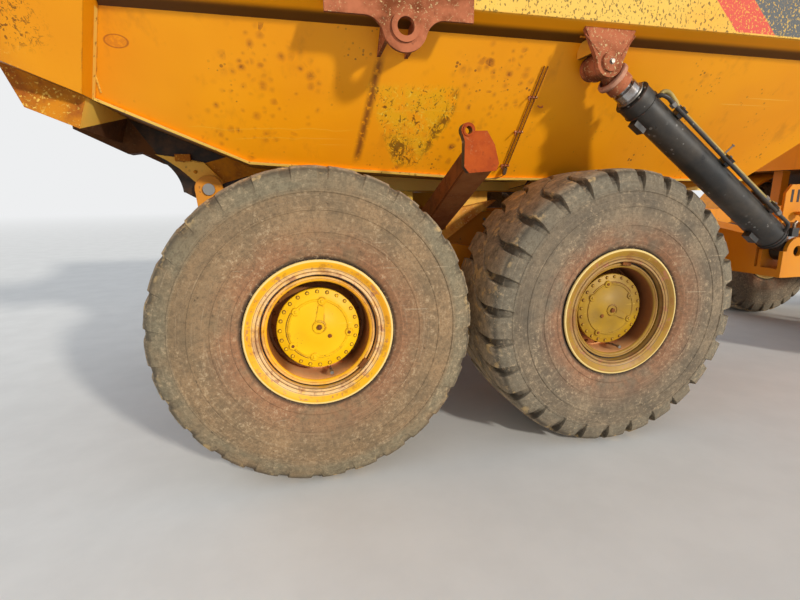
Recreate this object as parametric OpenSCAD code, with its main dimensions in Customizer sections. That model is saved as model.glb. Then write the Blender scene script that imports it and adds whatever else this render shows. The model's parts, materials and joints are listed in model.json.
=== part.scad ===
// Articulated dump truck, six wheel drive, 40 ton class.
// +X is the way it drives, +Y its left side, +Z up.
// The origin lies on the ground under the middle of the truck.

/* [Overall] */
// Rear axle to the tail of the body
rear_overhang = 1660; // [1500:10:1800]
// Rear axle to middle axle
bogie_spacing = 1966; // [1930:2:2100]
// Middle axle to front axle
front_wheelbase = 4590; // [4450:10:4900]
// Front axle to the face of the bumper
front_overhang = 2875; // [2700:5:3100]
// Height of the axles over the ground, the tyre's outer radius
tyre_r = 930; // [915:1:940]
// Distance between the middles of the tyres of one axle
track = 2687; // [2660:1:2760]

/* [Wheels] */
// Width of a tyre
tyre_w = 750; // [700:2:770]
// Height of the tread's lugs
lug_h = 38; // [25:1:50]
// Lugs along each shoulder of a tyre
lug_count = 24; // [20:1:28]
// Width of a groove between two lugs at the shoulder
groove_w = 74; // [50:2:90]
// Radius of the rim's flange
flange_r = 422; // [400:1:430]
// Distance between the rim's two flange faces
rim_w = 690; // [660:2:700]
// Radius of the tyre's bead
bead_r = 350; // [335:1:365]
// Radius of the rim's open barrel
barrel_r = 296; // [275:1:300]
// Radius of the hub's cover
hub_r = 241; // [210:1:250]
// How deep the hub's cover sits inside the outer flange
hub_inset = 112; // [100:1:190]

/* [Body] */
// Height of the flat floor's underside
floor_z = 1800; // [1790:1:1830]
// Height of the floor where its tail starts to rise
knee_z = 1890; // [1870:1:1920]
// Height of the tail's end
tail_z = 2415; // [2350:1:2480]
// Height of the ledge under the side rail
ledge_z = 2585; // [2540:1:2620]
// Height of the side rail's top
rail_top_z = 3140; // [3050:1:3250]
// Height of the guard over the front wall
guard_top_z = 3500; // [3300:5:3600]
// How far the floor's edge lies inside the side rail
floor_in = 778; // [760:1:800]
// How far the ledge rises towards the rail
ledge_rise = 60; // [0:5:80]
// Width of the ledge under the side rail
ledge_w = 189; // [160:1:220]
// Half width over the side rails
rail_half = 1700; // [1680:1:1715]
// Thickness of the walls
wall_t = 16; // [12:1:24]
// Thickness of the floor
floor_t = 20; // [14:1:28]
// How far the floor's edge stands out of the wall
lip_w = 24; // [10:1:28]
// Knee of the floor, ahead of the rear axle
knee_from_axle = -355; // [-420:5:-250]
// Start of the level floor, behind the middle axle
flat_start_behind = 716; // [650:2:780]
// Foot of the front wall, ahead of the middle axle
front_foot = 1670; // [1620:5:1720]
// Front of the body, ahead of the middle axle
body_front = 2630; // [2560:5:2650]
// Width of the post near the tail
post_w = 97; // [60:1:110]
// Post and tail panel stand this far out of the wall
post_depth = 189; // [40:1:200]
// Foot of the post, ahead of the tail's end
post_from_tail = 480; // [340:5:500]

/* [Body pivot] */
// Pivot of the body behind the rear axle
pivot_behind_axle = 660; // [620:5:700]
// Height of the pivot
pivot_z = 1740; // [1720:1:1760]
// Radius of the pivot's pin
pivot_pin_r = 40; // [34:1:46]
// Running clearance of pins and rods
fit = 0.4; // [0.3:0.1:1]

/* [Tailgate pivot plates] */
// Bore of the plate, ahead of the rear axle
gate_bore_from_axle = 490; // [450:5:540]
// Height of the bore
gate_bore_z = 2530; // [2515:1:2545]
// Radius of the bore
gate_bore_r = 45; // [36:1:50]
// Thickness of the plate
gate_plate_t = 20; // [16:1:22]

/* [Hoist] */
// Upper pin of the cylinder, behind the middle axle
hoist_top_behind = 218; // [180:2:240]
// Height of the upper pin
hoist_top_z = 2452; // [2440:1:2460]
// Lower pin of the cylinder, ahead of the middle axle
hoist_foot_ahead = 1454; // [1430:2:1500]
// Height of the lower pin
hoist_foot_z = 1288; // [1270:1:1300]
// How far inside the side rail the cylinder's middle is
hoist_from_rail = 140; // [130:1:144]
// Radius of the barrel
barrel_tube_r = 98; // [92:1:102]
// Radius of the second stage
stage_r = 76; // [72:1:80]
// Radius of the rod
rod_r = 56; // [48:1:60]
// Radius of the pins at both ends
hoist_pin_r = 38; // [30:1:42]

/* [Frame] */
// Height of the rear frame's top
frame_top_z = 1560; // [1540:1:1565]
// Depth of the rear frame's beams
frame_depth = 400; // [360:5:440]
// Half width over the rear frame's beams
frame_half = 600; // [560:5:620]
// Width of one beam
beam_w = 150; // [120:5:180]
// Hitch pivot behind the front axle
hitch_behind = 1506; // [1480:2:1540]
// Height of the oscillation axis
roll_z = 1230; // [1200:5:1250]
// Radius of the oscillation shaft
roll_shaft_r = 170; // [150:2:180]
// Half width over the front frame's beams
front_frame_half = 400; // [380:5:415]
// Width of one of its beams
front_beam_w = 110; // [90:5:130]

/* [Steering] */
// Cylinder's eye on the tractor, ahead of the hitch pivot
steer_eye_ahead = 1200; // [1170:5:1220]
// Its distance from the middle of the truck
steer_eye_y = 660; // [650:5:680]
// Cylinder's eye on the hitch, behind the pivot
steer_rod_behind = 250; // [240:5:260]
// Its distance from the middle of the truck
steer_rod_y = 520; // [500:5:540]
// Stroke each way from straight ahead
steer_stroke = 396; // [380:2:410]
// Radius of the barrel
steer_barrel_r = 65; // [55:1:70]
// Radius of the rod
steer_rod_r = 35; // [28:1:40]
// Radius of the pins at both ends
steer_pin_r = 32; // [26:1:36]

/* [Cab] */
// Half width of the cab
cab_half = 850; // [820:5:880]
// Height of the cab's floor
cab_floor_z = 1960; // [1930:5:2000]
// Height of the cab's roof
cab_top_z = 3745; // [3650:5:3800]
// Rear wall of the cab, ahead of the hitch pivot
cab_rear = 420; // [400:5:460]
// Length of the cab at its floor
cab_length = 1800; // [1700:5:1850]
// Thickness of the cab's walls
cab_wall = 60; // [50:1:70]
// Thickness of the window glass
glass_t = 10; // [6:1:14]

/* [Tractor] */
// Half width of the hood
hood_half = 760; // [720:5:790]
// Height of the hood's lower edge
hood_low_z = 1520; // [1505:5:1560]
// Height of the hood at the cab
hood_rear_z = 2640; // [2560:5:2680]
// Height of the hood at its front
hood_front_z = 2320; // [2280:5:2400]
// Slots in each side of the hood
louvre_count = 9; // [6:1:11]
// Height of the decks over the front tyres
deck_z = 1990; // [1985:1:2010]
// Half width over the decks
deck_half = 1560; // [1500:5:1600]
// Half width of the bumper
bumper_half = 1300; // [1200:5:1350]
// Height of the bumper's lower edge
bumper_low_z = 720; // [680:5:760]
// Height of the bumper's top
bumper_top_z = 1260; // [1240:5:1290]
// Half width over the tanks
tank_half = 1000; // [960:5:1040]
// Height of the rails over the decks
rail_height = 900; // [800:10:1000]

/* [Hidden] */

// Colours
yellow = [0.93, 0.62, 0.05];
black = [0.10, 0.10, 0.10];
rubber = [0.27, 0.25, 0.23];
steel = [0.60, 0.60, 0.60];
rust = [0.48, 0.25, 0.15];
glass = [0.45, 0.55, 0.58];

smooth = 96;
gap = 8;
overlap = 1;

// Places along the truck
truck_length = rear_overhang + bogie_spacing + front_wheelbase + front_overhang;
tail_x = -truck_length / 2;
rear_axle_x = tail_x + rear_overhang;
middle_axle_x = rear_axle_x + bogie_spacing;
front_axle_x = middle_axle_x + front_wheelbase;
nose_x = truck_length / 2;
hitch_x = front_axle_x - hitch_behind;
axle_z = tyre_r;
wheel_y = track / 2;
tyre_inner_y = wheel_y - tyre_w / 2;

// Places on the body
ledge_half = rail_half - ledge_w;
floor_half = rail_half - floor_in;
knee_x = rear_axle_x + knee_from_axle;
flat_start_x = middle_axle_x - flat_start_behind;
foot_x = middle_axle_x + front_foot;
front_x = middle_axle_x + body_front;
tail_angle = atan2(tail_z - knee_z, knee_x - tail_x);
front_slope_z = floor_z + (front_x - foot_x) * tan(44);
wall_slope = (ledge_half - floor_half) / (ledge_z - floor_z);
pivot_x = rear_axle_x - pivot_behind_axle;
gate_bore_x = rear_axle_x + gate_bore_from_axle;
bolster_low_z = floor_z - 72;
rib_step = 420;

// Hoist cylinder
hoist_y = rail_half - hoist_from_rail;
hoist_top_x = middle_axle_x - hoist_top_behind;
hoist_foot_x = middle_axle_x + hoist_foot_ahead;
hoist_length = norm([hoist_top_x - hoist_foot_x, hoist_top_z - hoist_foot_z]);
hoist_angle = atan2(hoist_top_z - hoist_foot_z, hoist_top_x - hoist_foot_x);
eye_half = 55;
hoist_eye_r = 80;
neck_r = 50;
barrel_start = 170;
barrel_end = hoist_length - 290;
stage_end = hoist_length - 215;

// Frame
frame_low_z = frame_top_z - frame_depth;
equalizer_in = 660;
equalizer_w = 120;
anchor_ahead = 970;
anchor_w = 170;
frame_tail_x = pivot_x - 90;
neck_x = hitch_x - 1150;
roll_front_x = hitch_x - 430;
beam_in = frame_half - beam_w;
shaft_front_x = neck_x + 200;
housing_r = 270;
groove_fall = 10;

// Steering cylinder: its eyes, and how long it is at rest
steer_eye_x = hitch_x + steer_eye_ahead;
steer_rod_x = hitch_x - steer_rod_behind;
steer_length = norm([steer_eye_x - steer_rod_x, steer_eye_y - steer_rod_y]);
steer_angle = atan2(steer_rod_y - steer_eye_y, steer_rod_x - steer_eye_x);
steer_barrel_end = steer_length - steer_stroke - 80;
hitch_pin_r = 70;

// Tractor
cab_rear_x = hitch_x + cab_rear;
cab_front_x = cab_rear_x + cab_length;
front_frame_top = 1500;
front_frame_low = 1130;
front_beam_in = front_frame_half - front_beam_w;
hood_rear_x = cab_front_x + 40;
hood_front_x = nose_x - 190;
hood_t = 30;
cowl_x = hood_rear_x + 60;
deck_t = 40;
deck_front_x = front_axle_x + 1150;
door_rear_x = cab_rear_x + 420;
door_front_x = cab_front_x - 300;
door_low_z = deck_z + deck_t + gap;
door_top_z = cab_top_z - 190;
rail_pipe_r = 22;
guard_reach = 900;
deck_rear_x = front_axle_x - 700;
ladder_foot_z = 560;
ladder_w = 420;
rung_pitch = 300;
tank_ahead = 1200;
tank_l = 780;

// A flat shape of X and Z, as thick as from y0 to y1
module across(y0, y1) {
    translate([0, y1, 0]) rotate([90, 0, 0]) linear_extrude(y1 - y0) children();
}

// A flat shape of Y and Z, as long as from x0 to x1
module along(x0, x1) {
    translate([x0, 0, 0]) rotate([90, 0, 90]) linear_extrude(x1 - x0) children();
}

// A block by its limits on each axis
module block(x, y, z) {
    translate([x[0], y[0], z[0]]) cube([x[1] - x[0], y[1] - y[0], z[1] - z[0]]);
}

// A round bar along Y, by its middle and its two ends
module bar_y(x, z, y, r) {
    translate([x, y[1], z]) rotate([90, 0, 0]) cylinder(h = y[1] - y[0], r = r, $fn = smooth);
}

// A round bar along X
module bar_x(x, y, z, r) {
    translate([x[0], y, z]) rotate([0, 90, 0]) cylinder(h = x[1] - x[0], r = r, $fn = smooth);
}

// A round bar along Z
module bar_z(x, y, z, r) {
    translate([x, y, z[0]]) cylinder(h = z[1] - z[0], r = r, $fn = smooth);
}

// Both sides of the truck
module both_sides() {
    children();
    mirror([0, 1, 0]) children();
}

// A flat rectangle with round corners, by its limits
module rounded(x, y, r) {
    for (dx = [0, r])
        translate([x[0] + dx, y[0] + r - dx]) square([x[1] - x[0] - 2 * dx, y[1] - y[0] - 2 * (r - dx)]);
    for (cx = [x[0] + r, x[1] - r], cy = [y[0] + r, y[1] - r])
        translate([cx, cy]) circle(r = r, $fn = smooth / 2);
}

// Puts a child that is made on the left onto the side wanted
module on_side(side) {
    if (side > 0) children();
    else mirror([0, 1, 0]) children();
}

// Tread's outline and carcass of a tyre, turned about the wheel's axle
module tyre_section() {
    half = tyre_w / 2;
    side_r = tyre_r * 0.72;
    polygon([
        [bead_r, -rim_w / 2 + 30], [flange_r + 3, -rim_w / 2 + 30], [flange_r + 60, -half + 20],
        [side_r, -half], [tyre_r - lug_h * 2, -half + 14], [tyre_r - 10, -half + 72],
        [tyre_r, -half + 170], [tyre_r, half - 170], [tyre_r - 10, half - 72],
        [tyre_r - lug_h * 2, half - 14], [side_r, half], [flange_r + 60, half - 20],
        [flange_r + 3, rim_w / 2 - 30], [bead_r, rim_w / 2 - 30]
    ]);
}

// One tyre about its own middle, its axle along Y
module tyre() {
    pitch = 360 / lug_count;
    color(rubber) difference() {
        rotate([90, 0, 0]) rotate_extrude($fn = smooth / 2) tyre_section();
        for (side = [-1, 1], i = [0:lug_count - 1])
            rotate([0, (i + side / 4) * pitch, 0]) scale([side, side, 1]) tread_groove();
    }
}

// One groove over a shoulder: it starts narrow near the crown, bends, and runs out wide and deep at the side
module tread_groove() {
    start_y = tyre_w * 0.12;
    bend_y = tyre_w * 0.26;
    out_y = tyre_w / 2 + 30;
    lean = groove_w * 0.9;
    translate([0, 0, tyre_r - lug_h * 0.4]) rotate([-groove_fall, 0, 0]) linear_extrude(lug_h * 4) polygon([
        [-lean - 8, start_y], [-lean + 8, start_y], [groove_w * 0.3, bend_y], [groove_w / 2, out_y],
        [-groove_w / 2, out_y], [-groove_w * 0.3, bend_y]
    ]);
}

// Rim with its hub, the open side towards +Y
module rim() {
    face = rim_w / 2;
    hub_face = face - hub_inset;
    inner_r = bead_r - fit;
    color(yellow) rotate([-90, 0, 0]) rotate_extrude($fn = smooth) polygon([
        [0, hub_face], [hub_r - 78, hub_face], [hub_r - 78, hub_face - 6], [hub_r - 12, hub_face - 8],
        [hub_r, hub_face - 16], [hub_r, hub_face - 125],
        [barrel_r - 2, hub_face - 125], [barrel_r, face - 66],
        [barrel_r + 12, face - 54], [barrel_r + 20, face - 52], [barrel_r + 22, face - 60],
        [barrel_r + 32, face - 60], [barrel_r + 34, face - 20], [barrel_r + 52, face - 16],
        [barrel_r + 54, face - 20], [barrel_r + 72, face - 18], [barrel_r + 76, face - 12],
        [flange_r - 18, face], [flange_r - 7, face], [flange_r, face - 8], [flange_r, face - 29.5],
        [inner_r, face - 30], [inner_r, -face + 30],
        [flange_r, -face + 29.5], [flange_r, -face + 8], [flange_r - 18, -face], [barrel_r + 20, -face + 30],
        [barrel_r + 20, -40], [hub_r - 27, -60], [hub_r - 27, -face + 40], [0, -face + 40]
    ]);
}

module wheel_place(axle_x, side) {
    translate([axle_x, side * wheel_y, axle_z]) on_side(side) children();
}

// Outline of the tub from the side: lift raises its floor, cut pulls its front in
module tub_side(lift, cut, tail_extra, top_extra) {
    lean = (rail_top_z - tail_z) * tan(tail_angle);
    polygon([
        [tail_x - tail_extra, tail_z + tail_extra * tan(tail_angle) + lift], [knee_x, knee_z + lift],
        [flat_start_x, floor_z + lift], [foot_x - cut / 2, floor_z + lift],
        [front_x - cut, front_slope_z + lift - cut / 2], [front_x - cut, guard_top_z + top_extra],
        [front_x - 450, guard_top_z + top_extra], [front_x - 1000, rail_top_z + top_extra],
        [tail_x + lean - tail_extra, rail_top_z + top_extra]
    ]);
}

// Cross section of the tub: widen moves its lower wall out
module tub_section(widen) {
    half = [
        [floor_half + widen, floor_z], [ledge_half + widen, ledge_z], [rail_half, ledge_z + ledge_rise],
        [rail_half, rail_top_z], [rail_half - 60, guard_top_z]
    ];
    polygon(concat(half, [for (i = [len(half) - 1:-1:0]) [-half[i][0], half[i][1]]]));
}

// Cross section of the load space
module load_section() {
    bend_z = ledge_z + 90;
    low_half = floor_half - wall_t - 8;
    half = [
        [low_half, floor_z], [low_half + wall_slope * (bend_z - floor_z), bend_z],
        [rail_half - 60, rail_top_z - 60], [rail_half - 60, guard_top_z + 100]
    ];
    polygon(concat(half, [for (i = [len(half) - 1:-1:0]) [-half[i][0], half[i][1]]]));
}

// Turned to stand on the tail's floor, its own X along that floor from the tail's end
module on_tail_floor() {
    translate([tail_x, tail_z]) rotate(-tail_angle) children();
}

// Half width of the lower wall at a height
function wall_half(z) = floor_half + wall_slope * (z - floor_z);

// Height of the tail's rising floor
function tail_floor_z(x) = knee_z + (knee_x - x) * tan(tail_angle);

module dump_body() {
    color(yellow) difference() {
        union() {
            intersection() {
                across(-rail_half, rail_half) tub_side(0, 0, 0, 0);
                along(tail_x, front_x) tub_section(0);
            }
            intersection() {
                across(-rail_half, rail_half) difference() {
                    tub_side(0, 0, 0, 0);
                    tub_side(16, 0, 500, 10);
                }
                along(tail_x, foot_x) tub_section(lip_w);
            }
            intersection() {
                across(-rail_half, rail_half) intersection() {
                    tub_side(0, 0, 0, 0);
                    on_tail_floor() translate([-200, -10]) square([post_from_tail + post_w + 200, 900]);
                }
                along(tail_x, front_x) tub_section(post_depth);
            }
        }
        intersection() {
            across(-rail_half, rail_half) tub_side(floor_t, 40, 600, 200);
            along(tail_x - 600, front_x) load_section();
        }
    }
}

// Lengthwise bolsters, cross bars, the tail's bolster and the hinge brackets
module body_bolsters() {
    hinge_eye_r = 95;
    plate = [beam_in + 10, frame_half - 10];
    sweep_r = 280;
    seam = 0.2;
    panel_front = post_from_tail + post_w;
    tail_half = wall_half(tail_floor_z(tail_x + panel_front)) + post_depth - 90;
    color(yellow) difference() {
        union() {
            both_sides() {
                across(plate[0], plate[1]) {
                    difference() {
                        polygon([
                            [pivot_x - 815, tail_floor_z(pivot_x - 815) - seam],
                            [pivot_x - 815, tail_floor_z(pivot_x - 815) - 212],
                            [pivot_x - 505, tail_floor_z(pivot_x - 505) - 240],
                            [pivot_x - 410, pivot_z + 249], [pivot_x - 410, pivot_z - 20],
                            [pivot_x - 168, pivot_z - 20], [pivot_x - 80, pivot_z - 70],
                            [pivot_x + 60, pivot_z - 70], [pivot_x + 420, bolster_low_z],
                            [foot_x - 40, bolster_low_z], [foot_x - 40, floor_z], [flat_start_x, floor_z],
                            [knee_x, knee_z - seam]
                        ]);
                        translate([pivot_x - 455, pivot_z - 40]) circle(r = sweep_r, $fn = smooth);
                    }
                    translate([pivot_x, pivot_z]) circle(r = hinge_eye_r, $fn = smooth);
                }
                for (x = [foot_x - 300:-rib_step:flat_start_x])
                    along(x - 10, x + 10) polygon([
                        [plate[1], bolster_low_z + 10], [floor_half - 40, floor_z - 30],
                        [floor_half, floor_z], [plate[1], floor_z]
                    ]);
            }
            across(-tail_half, tail_half) on_tail_floor() polygon([
                [panel_front - 427, -seam], [panel_front - 264, -166], [panel_front - 4, -168],
                [panel_front - 17, -seam]
            ]);
            for (x = [rear_axle_x + 700, middle_axle_x - 300, middle_axle_x + 900])
                block([x - 60, x + 60], [-plate[1] - 2, plate[1] + 2], [bolster_low_z + 10, floor_z]);
        }
        bar_y(pivot_x, pivot_z, [-rail_half, rail_half], pivot_pin_r + fit);
    }
}

// Plates on the side rails that carried the missing tailgate
module tailgate_pivot_plates() {
    top_z = rail_top_z - 180;
    left = gate_bore_x - 410;
    right = gate_bore_x + 370;
    lobe_r = 120;
    fillet_r = 100;
    strip_z = ledge_z - 13 - gate_bore_z;
    fillet_z = strip_z - fillet_r;
    fillet_x = sqrt(pow(lobe_r + fillet_r, 2) - pow(fillet_z, 2));
    share = lobe_r / (lobe_r + fillet_r);
    boss_y = rail_half + gate_plate_t + 14;
    color(rust) both_sides() difference() {
        union() {
            across(rail_half, rail_half + gate_plate_t) difference() {
                union() {
                    translate([left, gate_bore_z + strip_z])
                        square([right - left, top_z - gate_bore_z - strip_z]);
                    translate([gate_bore_x, gate_bore_z]) circle(r = lobe_r, $fn = smooth);
                    translate([gate_bore_x, gate_bore_z]) polygon([
                        [-fillet_x, strip_z + 1], [fillet_x, strip_z + 1],
                        [fillet_x * share, fillet_z * share], [-fillet_x * share, fillet_z * share]
                    ]);
                }
                for (side = [-1, 1])
                    translate([gate_bore_x + side * fillet_x, gate_bore_z + fillet_z])
                        circle(r = fillet_r, $fn = smooth);
                for (x = [left, right])
                    translate([x, top_z]) rotate(45) square(180, center = true);
            }
            bar_y(gate_bore_x, gate_bore_z, [rail_half, boss_y], gate_bore_r + 30);
            for (x = [gate_bore_x - 90, gate_bore_x + 70])
                along(x, x + 20) polygon([
                    [wall_half(gate_bore_z - 70), gate_bore_z - 70], [ledge_half, ledge_z],
                    [rail_half, ledge_z + ledge_rise], [rail_half + 1, ledge_z + ledge_rise],
                    [rail_half + 1, gate_bore_z - 40]
                ]);
        }
        bar_y(gate_bore_x, gate_bore_z, [rail_half - 60, rail_half + 60], gate_bore_r);
    }
}

// Clevis plates under the ledge, one each side of the hoist's upper eye
module hoist_brackets() {
    plate_y = hoist_y + eye_half + gap;
    plate_t = 30;
    lobe_r = hoist_pin_r + 46;
    top_z = ledge_z + ledge_rise;
    color(rust) both_sides() difference() {
        across(plate_y, plate_y + plate_t) {
            polygon([
                [hoist_top_x - 190, top_z], [hoist_top_x - lobe_r, hoist_top_z],
                [hoist_top_x + lobe_r, hoist_top_z], [hoist_top_x + 160, top_z]
            ]);
            translate([hoist_top_x, hoist_top_z]) circle(r = lobe_r, $fn = smooth);
        }
        bar_y(hoist_top_x, hoist_top_z, [plate_y - 10, plate_y + plate_t + 10], hoist_pin_r + fit);
        along(tail_x, front_x) tub_section(0);
    }
}

// Places a hoist piece, its own X from the lower pin to the upper one
module along_hoist(side) {
    translate([hoist_foot_x, side * hoist_y, hoist_foot_z]) rotate([0, -hoist_angle, 0]) children();
}

module hoist_barrel(side) {
    head = barrel_end - 90;
    color(black) along_hoist(side) difference() {
        union() {
            bar_y(0, 0, [-eye_half, eye_half], hoist_eye_r);
            bar_x([60, barrel_start + 20], 0, 0, neck_r);
            bar_x([barrel_start - 25, barrel_start + 35], 0, 0, barrel_tube_r - 12);
            bar_x([barrel_start, barrel_end], 0, 0, barrel_tube_r);
            bar_x([head, barrel_end], 0, 0, barrel_tube_r + 8);
            for (x = [barrel_start + 120, head - 110])
                block([x, x + 90], [-30, 30], [barrel_tube_r - 10, barrel_tube_r + 32]);
        }
        bar_x([barrel_start + 40, barrel_end + overlap], 0, 0, stage_r + 2);
        bar_y(0, 0, [-eye_half - 1, eye_half + 1], hoist_pin_r + fit);
    }
}

module hoist_stage(side) {
    color(steel) along_hoist(side) difference() {
        bar_x([barrel_start + 45, stage_end], 0, 0, stage_r);
        bar_x([barrel_start + 65, stage_end + overlap], 0, 0, rod_r + 2);
    }
}

module hoist_rod(side) {
    color(steel) along_hoist(side) union() {
        bar_x([barrel_start + 70, hoist_length - 40], 0, 0, rod_r);
        bar_x([stage_end + 25, hoist_length - 115], 0, 0, rod_r + 24);
        bar_y(hoist_length, 0, [-eye_half, eye_half], hoist_eye_r);
    }
}

// Beams, tubes, neck and outriggers behind the hitch
module rear_frame() {
    slope_z = frame_low_z - 120;
    color(yellow) difference() {
        union() {
            both_sides() {
                across(beam_in, frame_half) polygon([
                    [frame_tail_x + 40, frame_low_z + 60], [rear_axle_x - 100, frame_low_z],
                    [middle_axle_x + 900, frame_low_z], [neck_x, slope_z], [neck_x + 60, slope_z],
                    [neck_x + 60, frame_top_z - 60], [neck_x - 60, frame_top_z],
                    [frame_tail_x + 40, frame_top_z]
                ]);
                along(neck_x - 40, roll_front_x) polygon([
                    [beam_in - 300, roll_z - 230], [beam_in + 40, roll_z - 230], [beam_in + 40, roll_z + 230],
                    [beam_in - 300, roll_z + 230]
                ]);
                across(frame_half + 12, frame_half + 42) union() {
                    translate([pivot_x, pivot_z]) circle(r = 95, $fn = smooth);
                    polygon([
                        [pivot_x - 95, pivot_z], [pivot_x - 60, frame_low_z + 200],
                        [pivot_x + 380, frame_low_z + 120], [pivot_x + 380, frame_top_z - 30],
                        [pivot_x + 95, pivot_z]
                    ]);
                }
                block([pivot_x + 100, pivot_x + 340], [frame_half - 1, frame_half + 13],
                      [frame_low_z + 150, frame_top_z - 60]);
                hoist_outrigger();
                for (x = [rear_axle_x + 500, middle_axle_x + 1000])
                    block([x - 70, x + 70], [beam_in + 20, frame_half - 20],
                          [frame_top_z - overlap, bolster_low_z - gap]);
            }
            for (x = [rear_axle_x - 480, rear_axle_x + bogie_spacing / 2, middle_axle_x + 800])
                bar_y(x, frame_low_z + 200, [-beam_in - 20, beam_in + 20], 120);
            block([neck_x - 60, neck_x + 60], [-beam_in - 10, beam_in + 10],
                  [slope_z + 10, frame_top_z - 70]);
            bar_x([roll_front_x - 620, roll_front_x], 0, roll_z, roll_shaft_r + 65);
            block([shaft_front_x, shaft_front_x + 90], [-110, 110], [axle_z - 70, roll_z - 200]);
        }
        bar_x([roll_front_x - 560, roll_front_x + 10], 0, roll_z, roll_shaft_r + fit);
        bar_y(pivot_x, pivot_z, [-rail_half, rail_half], pivot_pin_r + fit);
        bar_y(hoist_foot_x, hoist_foot_z, [-rail_half, rail_half], hoist_pin_r);
    }
}

// Box arm from the beam out to the hoist's lower eye, with plates each side of it
module hoist_outrigger() {
    arm_end = hoist_y - barrel_tube_r - 12;
    inner_y = hoist_y - eye_half - gap - 28;
    outer_y = hoist_y + eye_half + gap;
    along(hoist_foot_x - 130, hoist_foot_x + 130) polygon([
        [frame_half - 5, hoist_foot_z - 210], [arm_end, hoist_foot_z - 190], [arm_end, hoist_foot_z + 90],
        [frame_half - 5, frame_top_z - 60]
    ]);
    for (y = [inner_y, outer_y])
        across(y, y + 28) union() {
            translate([hoist_foot_x, hoist_foot_z]) circle(r = 100, $fn = smooth);
            translate([hoist_foot_x - 130, hoist_foot_z - 190]) square([260, 190]);
        }
    block([hoist_foot_x - 130, hoist_foot_x + 130], [arm_end - 5, outer_y + 28],
          [hoist_foot_z - 190, hoist_foot_z - 130]);
}

module body_pivot_pins() {
    color(steel) both_sides() {
        bar_y(pivot_x, pivot_z, [beam_in - 20, frame_half + 60], pivot_pin_r);
    }
}

// Middle and rear axle housings, with the bulge round the differential
module axle_housing(x) {
    bar_y(x, axle_z, [-tyre_inner_y + 90, tyre_inner_y - 90], 150);
    both_sides() bar_y(x, axle_z, [tyre_inner_y - 140, tyre_inner_y + 5], 200);
    translate([x, 0, axle_z]) sphere(r = housing_r, $fn = smooth);
}

// Seats on top of a driven axle for the equalizer beams
module axle_seats(x) {
    both_sides() block([x - 110, x + 110], [equalizer_in, equalizer_in + equalizer_w], [axle_z, axle_z + 160]);
}

module bogie_axles() {
    color(yellow) for (x = [rear_axle_x, middle_axle_x]) {
        axle_housing(x);
        axle_seats(x);
        bar_x([x + 200, x + 380], 0, axle_z, 90);
    }
}

// Beams that rock about the frame between the middle and rear axles
module equalizer_beams() {
    middle = rear_axle_x + bogie_spacing / 2;
    color(yellow) both_sides() {
        across(equalizer_in, equalizer_in + equalizer_w) polygon([
            [rear_axle_x - 120, axle_z + 160], [rear_axle_x + 120, axle_z + 160], [middle, axle_z + 60],
            [middle_axle_x - 120, axle_z + 160], [middle_axle_x + 120, axle_z + 160],
            [middle_axle_x + 120, axle_z + 220], [middle, axle_z + 420], [rear_axle_x - 120, axle_z + 220]
        ]);
        bar_y(middle, axle_z + 290, [frame_half, equalizer_in + equalizer_w + 30], 85);
    }
}

module rear_drive_shafts() {
    color(steel) {
        bar_x([rear_axle_x + 380, middle_axle_x - housing_r], 0, axle_z, 60);
        bar_x([middle_axle_x + 380, shaft_front_x], 0, axle_z, 60);
    }
}

// Arms on the frame that held the straps of the missing tailgate
module anchor_arms() {
    x = rear_axle_x + anchor_ahead;
    half = anchor_w / 2;
    tip_y = rail_half - 100;
    tip_t = 45;
    low_z = frame_top_z + 280;
    top_z = low_z + 135;
    lug = [x - half - 10, top_z + 75];
    color(yellow) both_sides() difference() {
        union() {
            along(x - half, x + half) polygon([
                [frame_half, frame_top_z - 180], [tip_y, low_z], [tip_y, top_z], [frame_half, frame_top_z - 5]
            ]);
            across(tip_y - overlap, tip_y + tip_t) union() {
                polygon([
                    [x - half - 30, low_z + 10], [x - half, low_z - 25], [x + half, low_z - 10],
                    [x + half + 15, low_z + 30], [x + half - 15, top_z], [x + 20, lug[1]],
                    [lug[0] - 40, lug[1] - 5], [x - half - 30, top_z + 15]
                ]);
                translate(lug) circle(r = 42, $fn = smooth / 2);
            }
        }
        bar_y(lug[0], lug[1], [tip_y - 10, tip_y + tip_t + 10], 20);
    }
}

// Knuckle between the rear frame's tube and the tractor's fork
module hitch_head() {
    color(yellow) difference() {
        union() {
            bar_x([roll_front_x - 540, roll_front_x + 60], 0, roll_z, roll_shaft_r);
            bar_x([roll_front_x + gap, roll_front_x + 70], 0, roll_z, 290);
            along(roll_front_x + 60, hitch_x - 60) polygon([
                [-200, roll_z - 200], [200, roll_z - 200], [200, roll_z + 200], [-200, roll_z + 200]
            ]);
            bar_z(hitch_x, 0, [roll_z - 260, roll_z + 260], 170);
            for (z = [-1, 1])
                hull() {
                    bar_z(steer_rod_x, 0, wing_z(z), 120);
                    for (side = [-1, 1])
                        bar_z(steer_rod_x, side * steer_rod_y, wing_z(z), 85);
                }
        }
        bar_z(hitch_x, 0, [roll_z - 300, roll_z + 300], hitch_pin_r);
    }
}

// Heights of a plate that holds a steering eye, under or over the roll axis
function wing_z(z) = z > 0 ? [roll_z + 75, roll_z + 105] : [roll_z - 105, roll_z - 75];

module along_steer(side) {
    translate([steer_eye_x, side * steer_eye_y, roll_z]) rotate([0, 0, side * steer_angle]) children();
}

module steering_barrel(side) {
    color(black) along_steer(side) difference() {
        union() {
            bar_z(0, 0, [-60, 60], 72);
            bar_x([50, steer_barrel_end], 0, 0, steer_barrel_r);
        }
        bar_x([110, steer_barrel_end + overlap], 0, 0, steer_rod_r + 2);
        bar_z(0, 0, [-61, 61], steer_pin_r + fit);
    }
}

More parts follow.
